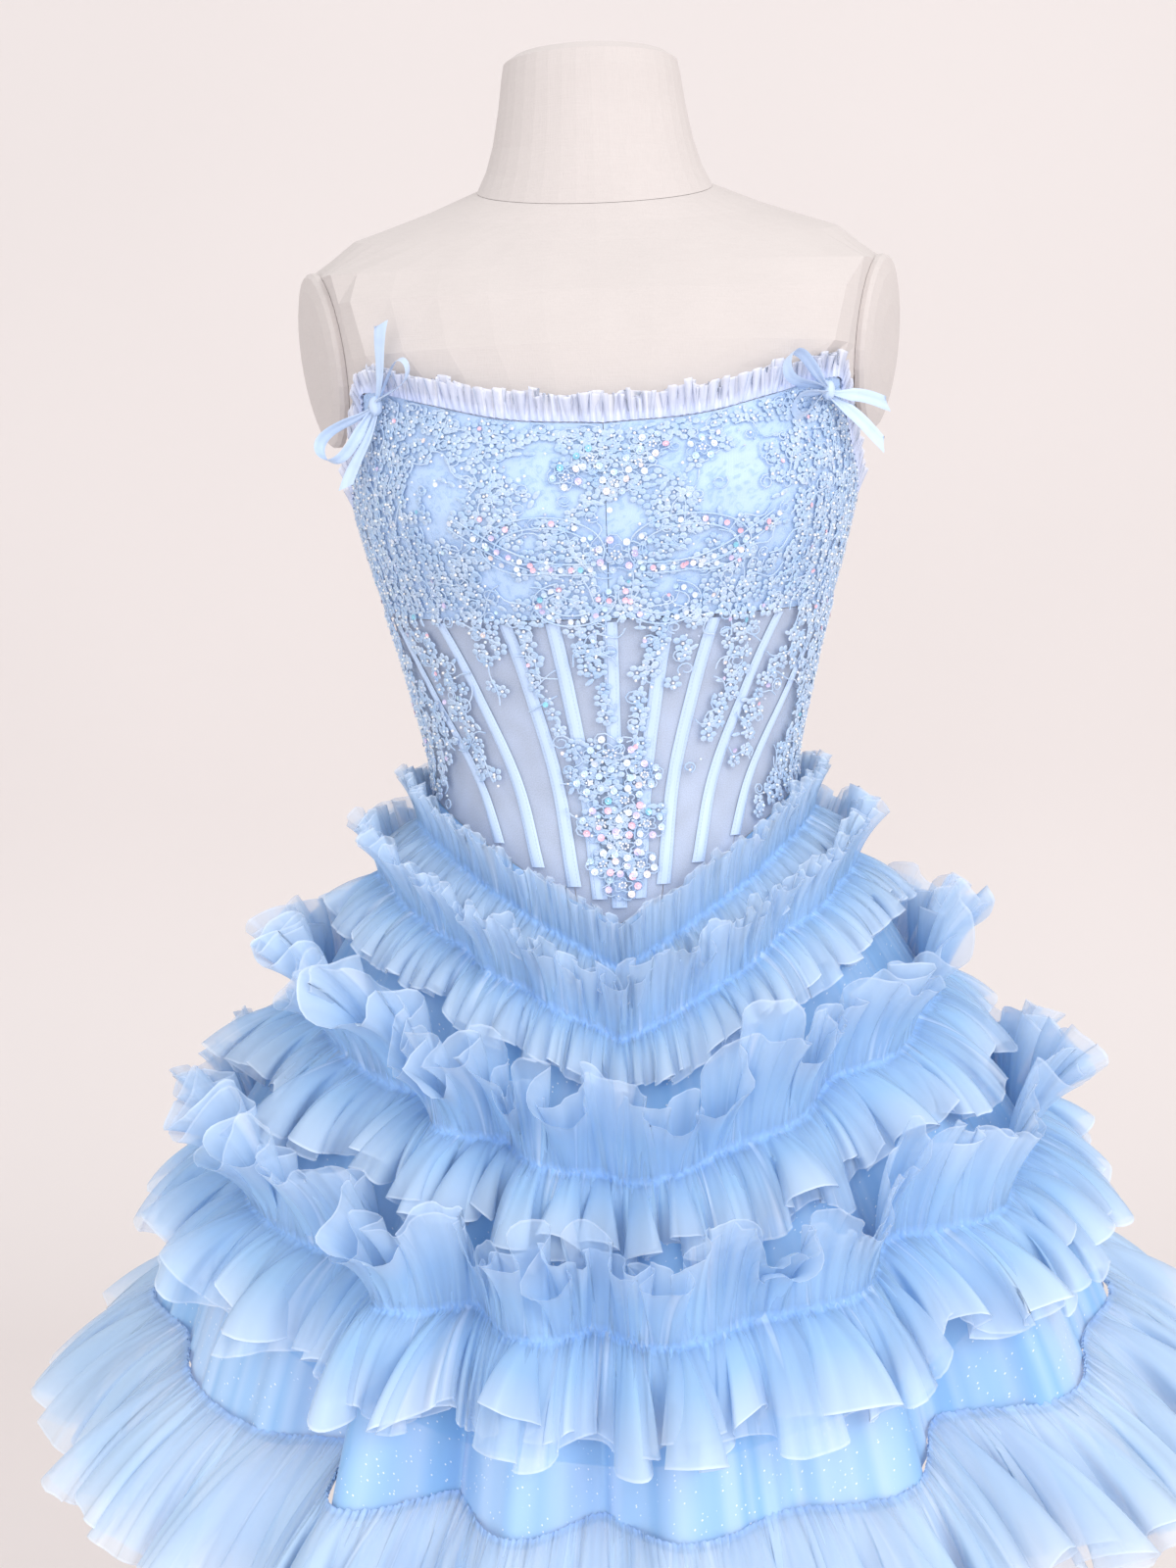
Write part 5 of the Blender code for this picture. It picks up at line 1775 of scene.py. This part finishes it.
CAMERA_PLACE = (0.0, -1.290, 1.143)
CAMERA_PITCH, CAMERA_ROLL = 4.86, -2.0
CAMERA_LENS, CAMERA_SHIFT = 45.0, -0.0175
ROOM_HALF, ROOM_BACK, ROOM_TALL, COVE, COVE_STEPS = 7.0, 2.6, 6.0, 0.8, 12
ROOM_LIFT = 0.12  # how much the room shines to the camera
AIR_COLOUR = (0.98, 0.97, 0.96, 1.0)
Lamp = namedtuple("Lamp", "name size place target colour")
LAMPS = (
    Lamp("key", 2.2, (1.9, -2.4, 2.5), (0.0, 0.0, 1.0), (1.0, 0.985, 0.97)),
    Lamp("fill", 2.6, (-0.9, -2.8, 0.8), (0.0, 0.0, 0.95), (0.97, 0.985, 1.0)),
)


def room_finish(name, colour, lift):
    """Plain matt floor and backdrop, a little brighter to the camera and clear from behind."""
    finish = Finish(name, roughness=0.9)
    cloud = finish.noise(finish.space(), 0.8, 2.0)
    tone = finish.mottle(cloud.above(0.3, 0.7), colour, 0.985, 1.015)
    finish.give("Base Color", tone)
    camera = finish.node("LightPath", output="Is Camera Ray")
    seen = camera + camera.beside("Is Glossy Ray") + camera.beside("Is Transmission Ray")
    seen = seen.at_most(1.0)
    finish.give("Emission Color", finish.blend(seen, (0.0, 0.0, 0.0, 1.0), tone))
    finish.give("Emission Strength", lift)
    behind = camera * finish.node("NewGeometry", output="Backfacing")
    solid, clear = Wire(finish, finish.surface.outputs[0]), finish.node("BsdfTransparent")
    either = finish.node("MixShader", {}, {0: behind, 1: solid, 2: clear})
    finish.plug(finish.tree.nodes["Material Output"].inputs["Surface"], either)
    return finish.material


def add_lamp(lamp, power):
    light = bpy.data.lights.new(lamp.name, "AREA")
    light.energy, light.size, light.color = power, lamp.size, lamp.colour
    stand = bpy.data.objects.new(lamp.name, light)
    aim = Vector(lamp.target) - Vector(lamp.place)
    stand.location, stand.rotation_euler = lamp.place, aim.to_track_quat("-Z", "Y").to_euler()
    bpy.context.scene.collection.objects.link(stand)


class DRESS_OT_stage(bpy.types.Operator):
    """Sets the floor, the backdrop, the lamps and the camera"""

    bl_idname = "dress.stage"
    bl_label = "Stage"

    def execute(self, context):
        scene = context.scene
        light = scene.dress_light
        profile = [(-ROOM_HALF, 0.0), (ROOM_BACK - COVE, 0.0)]
        for i in range(1, COVE_STEPS + 1):
            turn = math.pi / 2 * i / COVE_STEPS
            profile.append((ROOM_BACK - COVE + COVE * math.sin(turn), COVE - COVE * math.cos(turn)))
        profile.append((ROOM_BACK, ROOM_TALL))
        grid = np.array([[(x, y, z) for y, z in profile] for x in (-ROOM_HALF, ROOM_HALF)])
        room = mesh_object("room", grid, grid_faces(*grid.shape[:2]))
        room.data.materials.append(room_finish("room", colours().room, ROOM_LIFT))
        for lamp in LAMPS:
            add_lamp(lamp, getattr(light, lamp.name))
        world = bpy.data.worlds.new("soft_air")
        world.use_nodes = True
        air = world.node_tree.nodes["Background"].inputs
        air["Color"].default_value, air["Strength"].default_value = AIR_COLOUR, light.air
        scene.world = world
        camera = bpy.data.cameras.new("camera")
        camera.sensor_fit, camera.sensor_height = "VERTICAL", 36.0
        camera.lens, camera.shift_x, camera.clip_end = CAMERA_LENS, CAMERA_SHIFT, 60.0
        eye = bpy.data.objects.new("camera", camera)
        pitch = math.radians(CAMERA_PITCH)
        aim = Vector((0.0, math.cos(pitch), -math.sin(pitch))).to_track_quat("-Z", "Y").to_matrix()
        turned = aim @ Matrix.Rotation(math.radians(CAMERA_ROLL), 3, "Z")
        eye.matrix_world = Matrix.Translation(CAMERA_PLACE) @ turned.to_4x4()
        scene.collection.objects.link(eye)
        scene.camera = eye
        scene.view_settings.view_transform = "Standard"
        scene.cycles.transparent_max_bounces = 14
        return {"FINISHED"}


# Panel ------------------------------------------------------------------------------------------


STEPS = (
    DRESS_OT_stage,
    DRESS_OT_form,
    DRESS_OT_cups,
    DRESS_OT_panels,
    DRESS_OT_bones,
    DRESS_OT_lace,
    DRESS_OT_lining,
    DRESS_OT_overlay,
    DRESS_OT_tiers,
    DRESS_OT_frill,
    DRESS_OT_bows,
    DRESS_OT_zip,
)


class DRESS_PT_panel(bpy.types.Panel):
    """Lists the pieces of the dress, and their colours and sizes"""

    bl_idname = "DRESS_PT_panel"
    bl_label = "Homecoming Dress"
    bl_space_type = "VIEW_3D"
    bl_region_type = "UI"
    bl_category = "Dress"

    def draw(self, context):
        for step in STEPS:
            self.layout.operator(step.bl_idname)
        scene = context.scene
        for group in (scene.dress_colours, scene.dress_sizes, scene.dress_light):
            for name in group.__annotations__:
                self.layout.prop(group, name)


GROUPS = (DressColours, DressSizes, DressLight)


def register():
    for group in (*GROUPS, *STEPS, DRESS_PT_panel):
        bpy.utils.register_class(group)
    bpy.types.Scene.dress_colours = bpy.props.PointerProperty(type=DressColours)
    bpy.types.Scene.dress_sizes = bpy.props.PointerProperty(type=DressSizes)
    bpy.types.Scene.dress_light = bpy.props.PointerProperty(type=DressLight)


def unregister():
    del bpy.types.Scene.dress_light, bpy.types.Scene.dress_sizes, bpy.types.Scene.dress_colours
    for group in reversed((*GROUPS, *STEPS, DRESS_PT_panel)):
        bpy.utils.unregister_class(group)


def main():
    register()
    bpy.ops.object.select_all(action="DESELECT")
    for step in STEPS:
        getattr(bpy.ops.dress, step.bl_idname.split(".")[1])()


if __name__ == "__main__":
    main()
